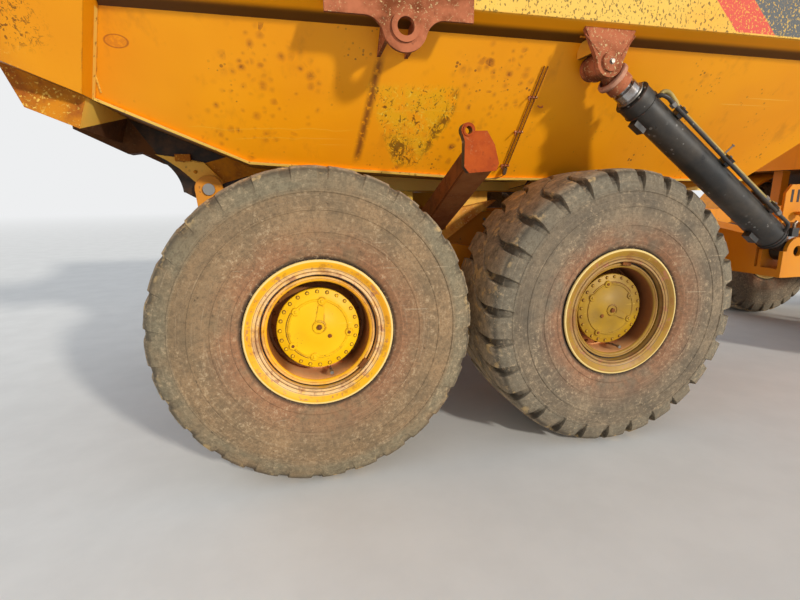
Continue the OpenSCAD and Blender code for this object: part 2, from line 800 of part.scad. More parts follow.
module steering_rod(side) {
    color(steel) along_steer(side) difference() {
        union() {
            bar_x([120 + steer_stroke, steer_length - 30], 0, 0, steer_rod_r);
            bar_z(steer_length, 0, [-55, 55], 68);
        }
        bar_z(steer_length, 0, [-61, 61], steer_pin_r);
    }
}

// Beams and fork of the tractor
module front_frame() {
    fork_x = hitch_x + 380;
    color(yellow) difference() {
        union() {
            both_sides() {
                across(front_beam_in, front_frame_half) polygon([
                    [hitch_x + 360, roll_z + 300], [hitch_x + 360, roll_z - 300],
                    [front_axle_x - 500, front_frame_low], [nose_x - 130, front_frame_low],
                    [nose_x - 130, front_frame_top - 60],
                    [front_axle_x + 200, front_frame_top], [hitch_x + 600, roll_z + 300]
                ]);
                for (z = [-1, 1])
                    block([steer_eye_x - 80, steer_eye_x + 80],
                          [front_frame_half - 5, steer_eye_y + 70], wing_z(z));
                for (x = [cab_rear_x + 150, cab_front_x - 250])
                    block([x, x + 110], [front_beam_in, front_frame_half],
                          [front_frame_top - 100, cab_floor_z]);
                block([front_axle_x - 900, front_axle_x - 800], [front_beam_in, front_frame_half],
                      [axle_z - 60, front_frame_low - 40]);
                block([cowl_x, cowl_x + 60], [front_beam_in, front_frame_half],
                      [front_frame_top - 100, hood_rear_z - 90]);
            }
            block([fork_x, fork_x + 60], [-front_frame_half, front_frame_half], [roll_z - 330, roll_z + 330]);
            along(cowl_x, cowl_x + 60) intersection() {
                hood_section(hood_t + 25);
                translate([-hood_half, hood_low_z + 300])
                    square([hood_half * 2, hood_rear_z - hood_low_z - 390]);
            }
            for (z = [roll_z - 335, roll_z + 265])
                hull() {
                    bar_z(hitch_x, 0, [z, z + 70], 190);
                    block([fork_x, fork_x + 60], [-300, 300], [z, z + 70]);
                }
            for (x = [front_axle_x + 600, nose_x - 560])
                block([x, x + 120], [-front_frame_half + 5, front_frame_half - 5],
                      [front_frame_low + 20, front_frame_low + 200]);
            bar_z(hitch_x, 0, [roll_z - 350, roll_z + 350], hitch_pin_r - fit);
        }
        for (side = [-1, 1])
            bar_z(steer_eye_x, side * steer_eye_y, [roll_z - 200, roll_z + 200], steer_pin_r);
    }
}

module front_axle() {
    color(yellow) union() {
        axle_housing(front_axle_x);
        both_sides() {
            block([front_axle_x - 800, front_axle_x], [front_beam_in + 10, front_frame_half - 10],
                  [axle_z - 60, axle_z + 60]);
            bar_z(front_axle_x + 60, front_frame_half - front_beam_w / 2, [axle_z + 40, front_frame_low], 50);
        }
    }
}

// Engine and gearbox as one closed mass
module engine_block() {
    side = front_beam_in - 10;
    low_z = front_frame_low + 200;
    color(black) union() {
        block([cowl_x + 70, nose_x - 420], [-side, side], [low_z, hood_front_z - 70]);
        for (x = [cowl_x + 350, cowl_x + 700, cowl_x + 1050])
            bar_x([x, x + 200], 0, hood_front_z - 70, 150);
    }
}

// Outline of the hood from the side
module hood_side(inset) {
    rear_x = hood_rear_x - (inset > 0 ? 50 : 0);
    polygon([
        [rear_x, hood_low_z - inset * 2], [rear_x, hood_rear_z - inset],
        [hood_front_x - 500, hood_front_z + 130 - inset], [hood_front_x - 120, hood_front_z - inset],
        [hood_front_x - inset, hood_front_z - 130], [hood_front_x + 40 - inset, hood_low_z + 160],
        [hood_front_x + 40 - inset, hood_low_z - inset * 2]
    ]);
}

// Cross section of the hood: its sides lean in towards the top, with round shoulders
module hood_section(inset) {
    half = hood_half - inset;
    waist_z = hood_low_z + 560;
    top_half = half - 150;
    polygon([
        [-half, hood_low_z - 200], [half, hood_low_z - 200], [half, waist_z],
        [top_half + 60, hood_rear_z - 160], [top_half, hood_rear_z - 60],
        [top_half - 120, hood_rear_z + 40], [-top_half + 120, hood_rear_z + 40],
        [-top_half, hood_rear_z - 60], [-top_half - 60, hood_rear_z - 160], [-half, waist_z]
    ]);
}

// Slots in a side of the hood that let the engine's heat out
module louvres() {
    slot_w = 40;
    pitch = 90;
    start_x = hood_rear_x + 330;
    for (i = [0:louvre_count - 1])
        across(-hood_half - 5, hood_half + 5)
            rounded([start_x + i * pitch, start_x + i * pitch + slot_w], [hood_low_z + 200, hood_low_z + 520],
                    slot_w / 2 - 1);
}

module hood() {
    color(yellow) difference() {
        intersection() {
            across(-hood_half, hood_half) hood_side(0);
            along(hood_rear_x - 60, nose_x) hood_section(0);
        }
        intersection() {
            across(-hood_half + hood_t, hood_half - hood_t) hood_side(hood_t);
            along(hood_rear_x - 60, nose_x) hood_section(hood_t);
        }
        along(hood_front_x - 200, hood_front_x + 200)
            rounded([-hood_half + 140, hood_half - 140], [hood_low_z + 80, hood_front_z - 190], 60);
        louvres();
    }
}

// Bars across the hood's front opening
module grille() {
    half = hood_half - 140;
    low = hood_low_z + 80;
    top = hood_front_z - 190;
    color(black) union() {
        along(hood_front_x - 25, hood_front_x + 8) difference() {
            rounded([-half, half], [low, top], 64);
            rounded([-half + 28, half - 28], [low + 28, top - 28], 40);
        }
        for (z = [low + 50:50:top - 40])
            block([hood_front_x - 20, hood_front_x + 2], [-half + 20, half - 20], [z, z + 18]);
        for (y = [-half / 2, 0, half / 2])
            block([hood_front_x - 40, hood_front_x - 10], [y - 15, y + 15], [low + 20, top - 20]);
    }
}

module bumper() {
    back_x = nose_x - 130;
    pocket_x = [nose_x - 90, nose_x + 10];
    pocket_y = [bumper_half - 360, bumper_half - 60];
    middle_z = (bumper_low_z + bumper_top_z) / 2;
    cheek_l = 620;
    color(black) difference() {
        union() {
            across(-bumper_half, bumper_half) polygon([
                [back_x, bumper_low_z + 40], [nose_x - 40, bumper_low_z], [nose_x, bumper_low_z + 80],
                [nose_x, bumper_top_z - 80], [nose_x - 60, bumper_top_z], [back_x, bumper_top_z]
            ]);
            both_sides() across(bumper_half - 45, bumper_half) polygon([
                [back_x - cheek_l, bumper_top_z - 160], [back_x + overlap, bumper_low_z + 60],
                [back_x + overlap, bumper_top_z], [back_x - cheek_l, bumper_top_z]
            ]);
        }
        both_sides() {
            block(pocket_x, pocket_y, [middle_z - 130, middle_z - 30]);
            block(pocket_x, pocket_y, [middle_z + 50, middle_z + 150]);
            bar_y(nose_x - 40, middle_z - 50, [160, 300], 70);
            bar_y(nose_x - 10, middle_z - 50, [160, 300], 60);
        }
        block([nose_x - 12, nose_x + 10], [-520, 520], [middle_z + 70, middle_z + 160]);
    }
}

module head_lamps() {
    size = 160;
    back_x = nose_x - 120;
    color([0.9, 0.9, 0.85]) both_sides()
        for (y = [bumper_half - 400, bumper_half - 210]) {
            along(back_x, back_x + 50) rounded([y, y + size], [bumper_top_z, bumper_top_z + size], 24);
            bar_x([back_x + 45, back_x + 65], y + size / 2, bumper_top_z + size / 2, 64);
        }
}

// Outline of the cab from the side
module cab_side(inset) {
    rake = 260;
    polygon([
        [cab_rear_x + inset, cab_floor_z + inset], [cab_front_x - inset, cab_floor_z + inset],
        [cab_front_x - inset, cab_floor_z + 500], [cab_front_x - rake - inset, cab_top_z - inset],
        [cab_rear_x + inset, cab_top_z - inset]
    ]);
}

// Openings for the side windows, one ahead of and one behind the door's post
module side_window(x0, x1) {
    polygon([[x0, cab_floor_z + 620], [x1, cab_floor_z + 620], [x1, door_top_z - 60], [x0, door_top_z - 60]]);
}

module rear_window() {
    polygon([
        [-cab_half + 160, cab_floor_z + 700], [cab_half - 160, cab_floor_z + 700],
        [cab_half - 160, cab_top_z - 220], [-cab_half + 160, cab_top_z - 220]
    ]);
}

// The slab in which the raked windscreen stands
module screen_slab(t) {
    intersection() {
        across(-cab_half + 130, cab_half - 130) polygon([
            [cab_front_x - 40, cab_floor_z + 560], [cab_front_x + 60, cab_floor_z + 560],
            [cab_front_x - 180, cab_top_z - 160], [cab_front_x - 400, cab_top_z - 160]
        ]);
        across(-cab_half, cab_half) difference() {
            cab_side(0);
            cab_side(t);
        }
    }
}

// Roof with its brim, over the screen most of all
module roof_cap() {
    brim = 35;
    low_z = cab_top_z - 95;
    across(-cab_half - brim, cab_half + brim) polygon([
        [cab_rear_x - brim, low_z], [cab_front_x - 40, low_z], [cab_front_x - 10, low_z + 30],
        [cab_front_x - 120, cab_top_z], [cab_rear_x - brim + 60, cab_top_z],
        [cab_rear_x - brim, cab_top_z - 40]
    ]);
}

module cab_shell() {
    color(yellow) difference() {
        union() {
            across(-cab_half, cab_half) cab_side(0);
            roof_cap();
        }
        across(-cab_half + cab_wall, cab_half - cab_wall) cab_side(cab_wall);
        screen_slab(cab_wall + 5);
        along(cab_rear_x - 5, cab_rear_x + cab_wall + 5) rear_window();
        across(-cab_half - 5, -cab_half + cab_wall + 5) side_window(door_rear_x, door_front_x - 60);
        block([door_rear_x, door_front_x], [cab_half - cab_wall - 5, cab_half + 5], [door_low_z, door_top_z]);
    }
}

module cab_glass() {
    set_back = 18;
    color(glass) union() {
        difference() {
            screen_slab(set_back + glass_t);
            screen_slab(set_back);
        }
        along(cab_rear_x + set_back, cab_rear_x + set_back + glass_t) rear_window();
        across(-cab_half + set_back, -cab_half + set_back + glass_t)
            side_window(door_rear_x, door_front_x - 60);
    }
}

module cab_door() {
    color(yellow) difference() {
        block([door_rear_x + gap, door_front_x - gap], [cab_half - cab_wall, cab_half],
              [door_low_z + gap, door_top_z - gap]);
        door_window();
    }
}

module door_window() {
    block([door_rear_x + 100, door_front_x - 100], [cab_half - cab_wall - 5, cab_half + 5],
          [cab_floor_z + 520, door_top_z - 100]);
}

module door_glass() {
    color(glass) intersection() {
        door_window();
        block([door_rear_x, door_front_x], [cab_half - 30, cab_half - 30 + glass_t],
              [door_low_z, door_top_z]);
    }
}

module seat() {
    x = cab_rear_x + 420;
    z = cab_floor_z + cab_wall;
    half = 260;
    cushion_z = z + 260;
    color(black) union() {
        block([x + 120, x + 420], [-180, 180], [z, z + 60]);
        bar_z(x + 270, 0, [z, cushion_z], 90);
        block([x + 60, x + 480], [-half + 40, half - 40], [cushion_z - 60, cushion_z + 5]);
        across(-half, half) rounded([x, x + 540], [cushion_z, cushion_z + 140], 60);
        across(-half + 10, half - 10) hull() {
            translate([x + 30, cushion_z + 130]) circle(r = 62, $fn = 32);
            translate([x - 70, cushion_z + 640]) circle(r = 48, $fn = 32);
        }
        across(-130, 130) hull() {
            translate([x - 80, cushion_z + 700]) circle(r = 45, $fn = 32);
            translate([x - 96, cushion_z + 800]) circle(r = 40, $fn = 32);
        }
    }
}

module steering_column() {
    x = cab_front_x - 420;
    z = cab_floor_z + cab_wall;
    dash_x = cab_front_x - cab_wall - 60;
    color(black) union() {
        block([x + 60, x + 200], [-150, 150], [z, z + 640]);
        across(-cab_half + cab_wall + 20, cab_half - cab_wall - 20) polygon([
            [x + 190, z + 380], [dash_x + 40, z + 380], [dash_x, z + 690],
            [x + 250, z + 690], [x + 170, z + 600]
        ]);
        translate([x + 60, 0, z + 700]) rotate([0, -30, 0]) union() {
            rotate_extrude($fn = smooth) translate([215, 0]) circle(r = 17, $fn = 24);
            cylinder(h = 150, r = 30, center = true, $fn = smooth);
            for (a = [0, 120, 240]) rotate(a) block([0, 215], [-14, 14], [-8, 8]);
        }
    }
}

// Arches over the front tyres with a flat deck over each
module mudguards() {
    arch_r = tyre_r + 110;
    arch_t = 30;
    inner_y = cab_half + 10;
    reach = guard_reach;
    bracket = [front_frame_top - 70, front_frame_top - 20];
    color(yellow) both_sides() union() {
        across(inner_y, deck_half) intersection() {
            difference() {
                translate([front_axle_x, axle_z]) circle(r = arch_r + arch_t, $fn = smooth);
                translate([front_axle_x, axle_z]) circle(r = arch_r, $fn = smooth);
            }
            translate([front_axle_x - reach, axle_z + 520]) square([reach * 2 + 100, 700]);
        }
        across(deck_half - 25, deck_half) intersection() {
            difference() {
                translate([front_axle_x, axle_z]) circle(r = arch_r + arch_t, $fn = smooth);
                translate([front_axle_x, axle_z]) circle(r = arch_r - 45, $fn = smooth);
            }
            translate([front_axle_x - reach, axle_z + 520]) square([reach * 2 + 100, 700]);
        }
        block([deck_rear_x, deck_front_x], [inner_y, deck_half], [deck_z, deck_z + deck_t]);
        across(deck_half - 25, deck_half) polygon([
            [deck_rear_x, deck_z + deck_t], [deck_rear_x + 60, deck_z - 60],
            [deck_front_x - 60, deck_z - 90], [deck_front_x, deck_z + deck_t]
        ]);
        for (x = [front_axle_x - reach, front_axle_x + reach])
            block([x, x + 90], [front_frame_half, deck_half - 60], bracket);
        block([front_axle_x + reach, front_axle_x + reach + 90], [inner_y, inner_y + 50],
              [bracket[0], deck_z + overlap]);
    }
}

// Steps up to the decks, with a rail each side
module ladders() {
    // The left rail leaves room for the door
    color(black) union() {
        ladder([front_axle_x + 290, deck_front_x - 60]);
        mirror([0, 1, 0]) ladder([front_axle_x - 400, front_axle_x + 250, deck_front_x - 60]);
    }
}

// The left ladder, and a rail on posts at these places along the deck
module ladder(posts) {
    x = deck_front_x - 70;
    stile_t = 30;
    outer_y = deck_half - 80;
    inner_y = outer_y - ladder_w;
    rail_y = deck_half - 30;
    rail_z = deck_z + rail_height;
    bar_r = rail_pipe_r - 3;
    for (y = [inner_y, outer_y])
        across(y, y + stile_t)
            polygon([[x, ladder_foot_z], [x + 60, ladder_foot_z], [x + 60, deck_z], [x, deck_z]]);
    for (z = [ladder_foot_z + 20:rung_pitch:deck_z - 200])
        block([x - 60, x + 80], [inner_y, outer_y + stile_t], [z, z + 35]);
    for (post_x = posts)
        bar_z(post_x, rail_y, [deck_z + deck_t, rail_z + bar_r + 4], rail_pipe_r);
    for (z = [rail_z, deck_z + rail_height / 2 + 30])
        bar_x([posts[0], posts[len(posts) - 1]], rail_y, z, bar_r);
}

// Fuel tank on the right and oil tank on the left, ahead of the front tyres
module tanks() {
    x = front_axle_x + tank_ahead;
    end_x = x + tank_l;
    strap = [8, 50];
    corner_r = 70;
    cap_y = tank_half - 120;
    color(yellow) both_sides() {
        along(x, end_x) rounded([front_frame_half, tank_half], [front_frame_low, front_frame_top], corner_r);
        for (strap_x = [x + 140, end_x - 180])
            along(strap_x, strap_x + strap[1])
                rounded([front_frame_half, tank_half + strap[0]],
                        [front_frame_low - strap[0], front_frame_top + strap[0]], corner_r + strap[0] / 2);
        bar_z(end_x - 330, cap_y, [front_frame_top - 20, front_frame_top + 55], 55);
    }
}

module exhaust_stack() {
    x = hood_rear_x + 180;
    y = -hood_half - 180;
    foot_z = deck_z + deck_t;
    silencer_z = cab_top_z - 445;
    pipe_z = cab_top_z - 265;
    lean = -25;
    silencer_r = 75;
    pipe_r = 60;
    color(rust) union() {
        bar_z(x, y, [foot_z, foot_z + 20], 105);
        bar_z(x, y, [foot_z, silencer_z], silencer_r);
        for (z = [foot_z + 180, silencer_z - 120])
            bar_z(x, y, [z, z + 40], silencer_r + 7);
        bar_z(x, y, [silencer_z - overlap, pipe_z], pipe_r);
        translate([x, y, pipe_z - 10]) rotate([0, lean, 0]) difference() {
            cylinder(h = 170, r = pipe_r - 2, $fn = smooth);
            translate([0, 0, 40]) cylinder(h = 170, r = pipe_r - 8, $fn = smooth);
        }
    }
}

module mirrors() {
    x = cab_front_x - 160;
    arm_y = cab_half + 440;
    low_z = cab_floor_z + 600;
    top_z = low_z + 460;
    color(black) both_sides() union() {
        for (z = [low_z + 60, top_z - 60])
            bar_y(x, z, [cab_half, arm_y], 20);
        along(x - 30, x + 25) rounded([arm_y - 20, arm_y + 200], [low_z, top_z], 40);
    }
}

rear_frame();
body_pivot_pins();
bogie_axles();
equalizer_beams();
rear_drive_shafts();
anchor_arms();
dump_body();
body_bolsters();
tailgate_pivot_plates();
hoist_brackets();
hoist_barrel(1);  // hoist_barrel_left
hoist_barrel(-1);  // hoist_barrel_right
hoist_stage(1);  // hoist_stage_left
hoist_stage(-1);  // hoist_stage_right
hoist_rod(1);  // hoist_rod_left
hoist_rod(-1);  // hoist_rod_right
wheel_place(rear_axle_x, 1) tyre();  // tyre_rear_left
wheel_place(rear_axle_x, -1) tyre();  // tyre_rear_right
wheel_place(middle_axle_x, 1) tyre();  // tyre_middle_left
wheel_place(middle_axle_x, -1) tyre();  // tyre_middle_right
wheel_place(front_axle_x, 1) tyre();  // tyre_front_left
wheel_place(front_axle_x, -1) tyre();  // tyre_front_right
wheel_place(rear_axle_x, 1) rim();  // rim_rear_left
wheel_place(rear_axle_x, -1) rim();  // rim_rear_right
wheel_place(middle_axle_x, 1) rim();  // rim_middle_left
wheel_place(middle_axle_x, -1) rim();  // rim_middle_right
wheel_place(front_axle_x, 1) rim();  // rim_front_left
wheel_place(front_axle_x, -1) rim();  // rim_front_right
hitch_head();
steering_barrel(1);  // steering_barrel_left
steering_barrel(-1);  // steering_barrel_right
steering_rod(1);  // steering_rod_left
steering_rod(-1);  // steering_rod_right
front_frame();
front_axle();
engine_block();
hood();
grille();
bumper();
head_lamps();
cab_shell();
cab_glass();
cab_door();
door_glass();
seat();
steering_column();
mudguards();
ladders();
tanks();
exhaust_stack();
mirrors();
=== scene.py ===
"""The looks of an articulated dump truck: finishes, tread, fittings, seat, floor, light and camera.

Lengths are metres in the frame of the model: +X the way it drives, +Y its left side, +Z up.
"""
import json
import math

import bmesh
import bpy
import numpy as np
from mathutils import Matrix, Vector


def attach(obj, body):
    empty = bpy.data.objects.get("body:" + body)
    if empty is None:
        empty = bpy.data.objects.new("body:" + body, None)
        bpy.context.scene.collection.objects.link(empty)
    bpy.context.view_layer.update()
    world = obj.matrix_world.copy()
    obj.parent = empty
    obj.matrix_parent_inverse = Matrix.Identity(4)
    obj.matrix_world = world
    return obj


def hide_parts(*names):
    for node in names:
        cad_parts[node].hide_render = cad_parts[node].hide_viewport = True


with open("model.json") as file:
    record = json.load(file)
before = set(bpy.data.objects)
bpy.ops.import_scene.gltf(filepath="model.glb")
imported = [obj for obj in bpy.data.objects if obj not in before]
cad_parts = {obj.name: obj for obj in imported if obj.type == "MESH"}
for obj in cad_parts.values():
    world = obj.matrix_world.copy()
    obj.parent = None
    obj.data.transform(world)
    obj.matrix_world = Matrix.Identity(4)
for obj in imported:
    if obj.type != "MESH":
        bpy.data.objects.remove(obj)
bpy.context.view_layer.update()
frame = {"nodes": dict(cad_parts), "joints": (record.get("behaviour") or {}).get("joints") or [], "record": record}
nodes = frame["nodes"]
pivots = {joint["name"]: Vector(joint["pos_m"]) for joint in frame["joints"]}
SIDES = {"left": 1, "right": -1}
AXLES = ("rear", "middle", "front")
random = np.random.default_rng(11)

# The CAD's own measures that the finishes and fittings follow
LUGS = 28
LEDGE_Z = 2.585
LEDGE_HALF = 1.511
WALL_SLOPE = 0.75
RAIL_HALF = 1.7
FLOOR_Z = 1.8
HOIST_FOOT = (-0.4655, 1.56, 1.288)
HOIST_RUN = (-0.8207, 0, 0.5714)
HOIST_LIFT = (0.5714, 0, 0.8207)


def srgb(red, green, blue):
    """Linear colour from the eight-bit values that a screen shows."""
    shares = [value / 255 for value in (red, green, blue)]
    return (*(v / 12.92 if v <= 0.04045 else ((v + 0.055) / 1.055) ** 2.4 for v in shares), 1.0)


YELLOW = srgb(254, 168, 10)
PALE_YELLOW = srgb(238, 194, 84)
LIP_YELLOW = srgb(255, 216, 104)
DEEP_YELLOW = srgb(240, 150, 8)
RUST = srgb(122, 62, 30)
DARK_RUST = srgb(74, 38, 22)
# Dark brown painted onto faces that face down, a painted shade
UNDERSIDE_SHADE_BROWN = srgb(70, 38, 14)
PRIMER = srgb(190, 112, 76)
DUST = srgb(166, 142, 112)
BLACK = srgb(34, 34, 34)
STEEL = srgb(150, 146, 140)
RED = srgb(222, 84, 66)
GREY = srgb(96, 98, 98)
SKY = srgb(238, 239, 240)


class Amount:
    """What varies over a surface. Arithmetic with it makes the nodes that work it out."""

    def __init__(self, finish, socket):
        self.finish, self.socket = finish, socket

    def math(self, operation, other=0.0):
        return self.finish.node("ShaderNodeMath", {0: self, 1: other}, operation=operation)

    def __add__(self, other):
        return self.math("ADD", other)

    def __sub__(self, other):
        return self.math("SUBTRACT", other)

    def __rsub__(self, other):
        return self.finish.node("ShaderNodeMath", {0: other, 1: self}, operation="SUBTRACT")

    def __mul__(self, other):
        return self.math("MULTIPLY", other)

    def __truediv__(self, other):
        return self.math("DIVIDE", other)

    def __or__(self, other):
        """The larger of the two."""
        return self.math("MAXIMUM", other)

    def ramp(self, low, high):
        """0 below low, 1 above high, smooth between. With low above high it falls."""
        limits = {"Value": self, "From Min": low, "From Max": high}
        return self.finish.node("ShaderNodeMapRange", limits, interpolation_type="SMOOTHSTEP")

    def between(self, low, high, soft):
        """1 from low to high, fading to 0 over soft at each end."""
        return self.ramp(low - soft, low + soft) * self.ramp(high + soft, high - soft)


class Finish:
    """One material, built up in layers. Places are the object's own, in metres."""

    def __init__(self, name, **sockets):
        self.material = bpy.data.materials.new(name)
        self.material.use_nodes = True
        self.tree = self.material.node_tree
        self.shader = self.tree.nodes["Principled BSDF"]
        for socket, value in sockets.items():
            self.shader.inputs[socket.replace("_", " ")].default_value = value
        self.place = self.node("ShaderNodeTexCoord", out="Object")
        self.x, self.y, self.z = (self.node("ShaderNodeSeparateXYZ", {0: self.place},
                                            axis) for axis in range(3))
        self.side = self.y.math("ABSOLUTE")
        self.up = self.node("ShaderNodeSeparateXYZ", {0: self.node("ShaderNodeTexCoord", out="Normal")}, 2)
        self.right = self.y.ramp(0.1, -0.1)
        self.colour = None

    def node(self, kind, inputs=None, out=0, **settings):
        made = self.tree.nodes.new(kind)
        for key, value in settings.items():
            setattr(made, key, value)
        for key, value in (inputs or {}).items():
            if isinstance(value, Amount):
                self.tree.links.new(value.socket, made.inputs[key])
            else:
                made.inputs[key].default_value = value
        return Amount(self, made.outputs[out])

    def stretched(self, scale, shift=(0, 0, 0), turn=(0, 0, 0)):
        """The place with each axis scaled by itself."""
        changes = {"Vector": self.place, "Scale": scale, "Location": shift, "Rotation": turn}
        return self.node("ShaderNodeMapping", changes)

    def noise(self, scale, detail=4, vector=None, roughness=0.6, distortion=0.0):
        inputs = {"Vector": vector or self.place, "Scale": scale, "Detail": detail, "Roughness": roughness,
                  "Distortion": distortion}
        return self.node("ShaderNodeTexNoise", inputs, "Fac")

    def patches(self, scale, detail, low, high, vector=None, roughness=0.6, distortion=0.0):
        """Noise, cut off below low and full above high."""
        return self.noise(scale, detail, vector, roughness, distortion).ramp(low, high)

    def blend(self, amount, first, second):
        return self.node("ShaderNodeMix", {0: amount, 6: first, 7: second}, 2, data_type="RGBA")

    def layer(self, colour, amount):
        """Lays a colour over those below it, as thickly as the amount says."""
        self.colour = self.blend(amount, self.colour, colour)

    def spots(self, scale, size, inner=0.05, outer=-0.05, vector=None):
        """Round spots of mixed size: 1 inside, fading at the rim."""
        distance = self.node("ShaderNodeTexVoronoi", {"Vector": vector or self.place, "Scale": scale},
                             "Distance")
        colour = Amount(self, distance.socket.node.outputs["Color"])
        chance = self.node("ShaderNodeSeparateColor", {0: colour})
        return (distance - chance * chance * chance * size).ramp(inner, outer)

    def away(self, x, z):
        """Distance, seen from the side."""
        return (x.math("POWER", 2.0) + z.math("POWER", 2.0)).math("SQRT")

    def line(self, x_share, z_share=1.0):
        """A slanted coordinate: this much of X and of Z."""
        return self.x * x_share + self.z * z_share

    def strokes(self, across, along, low, high, shift=(0, 0, 0)):
        """Brush-like marks that run up and down."""
        return self.patches(1.0, 5, low, high, self.stretched((across, across, along), shift), 0.72, 1.4)

    def rounded(self, radius):
        return self.node("ShaderNodeBevel", {"Radius": radius}, samples=2)

    def edge_wear(self, radius):
        """1 on edges sharper than the radius."""
        flat = self.node("ShaderNodeNewGeometry", out="Normal")
        both = {0: self.rounded(radius), 1: flat}
        return self.node("ShaderNodeVectorMath", both, "Value", operation="DOT_PRODUCT").ramp(0.995, 0.9)

    def done(self, roughness=None, height=None, distance=0.002, strength=0.6, round_edges=0.0):
        shape = {}
        if round_edges:
            shape["Normal"] = self.rounded(round_edges)
        if height is not None:
            shape.update({"Height": height, "Distance": distance, "Strength": strength})
            shape["Normal"] = self.node("ShaderNodeBump", shape)
        given = {"Base Color": self.colour, "Roughness": roughness, "Normal": shape.get("Normal")}
        for name, amount in given.items():
            if amount is not None:
                self.tree.links.new(amount.socket, self.shader.inputs[name])
        return self.material

    def weather(self, colour, rust=0.5, dust=0.4, scale=1.0, faded=DEEP_YELLOW, extra=None):
        """Faded paint with rust spots, scratches and dust, and painted shade on faces that face down. Gives
        roughness and height.
        """
        self.colour = colour
        self.layer(faded, self.patches(0.9 * scale, 3, 0.35, 0.72) * 0.75)
        runs = self.patches(1.0, 4, 0.56, 0.78, self.stretched((7 * scale, 7 * scale, 0.7 * scale)))
        self.layer(RUST, runs * (0.2 + 0.15 * dust))
        cluster = self.patches(1.4 * scale, 3, 0.66 - 0.08 * rust, 0.76)
        if extra is not None:
            cluster = cluster | extra
        shaken = self.node("ShaderNodeTexNoise", {"Vector": self.place, "Scale": 24.0}, "Color")
        shaken = self.node("ShaderNodeVectorMath", {0: shaken, 1: (0.016, 0.016, 0.016)},
                           operation="MULTIPLY")
        wobble = self.node("ShaderNodeVectorMath", {0: self.place, 1: shaken}, operation="ADD")
        ragged = self.patches(58 * scale, 5, 0.42, 0.58) * 0.75 + 0.25
        halo = self.spots(19 * scale, 0.52, 0.34, -0.1, wobble) * cluster * 0.5
        spots = self.spots(19 * scale, 0.44, 0.1, -0.16, wobble) * cluster * ragged
        small = self.spots(48 * scale, 0.45) * self.patches(3.1 * scale, 3, 0.54, 0.68)
        self.layer(srgb(176, 96, 28), halo)
        self.layer(srgb(112, 62, 30), (spots | small) * 0.75)
        scratch = self.patches(1.0, 2, 0.705, 0.725, self.stretched((0.7, 60, 60)))
        self.layer(LIP_YELLOW, scratch * self.patches(0.8, 2, 0.5, 0.62) * 0.5)
        wear = self.edge_wear(0.01) * self.patches(16, 4, 0.46, 0.62)
        self.layer(RUST, wear * 0.8)
        grime = self.patches(3.1, 5, 0.42, 0.8) * dust * (self.up.ramp(0.3, 0.9) * 0.65 + 0.35)
        self.layer(DUST, grime)
        # Painted shade: faces that face down turn dark brown
        self.layer(UNDERSIDE_SHADE_BROWN, self.up.ramp(-0.72, -0.92) * 0.86)
        return (grime + spots) * 0.35 + 0.46, self.noise(46 * scale, 5) * 0.22 - (spots + wear)


def paint(name, base, rust=0.5, dust=0.4, scale=1.0, faded=DEEP_YELLOW):
    coat = Finish(name, Specular_IOR_Level=0.3)
    return coat.done(*coat.weather(base, rust, dust, scale, faded), 0.0012, round_edges=0.004)


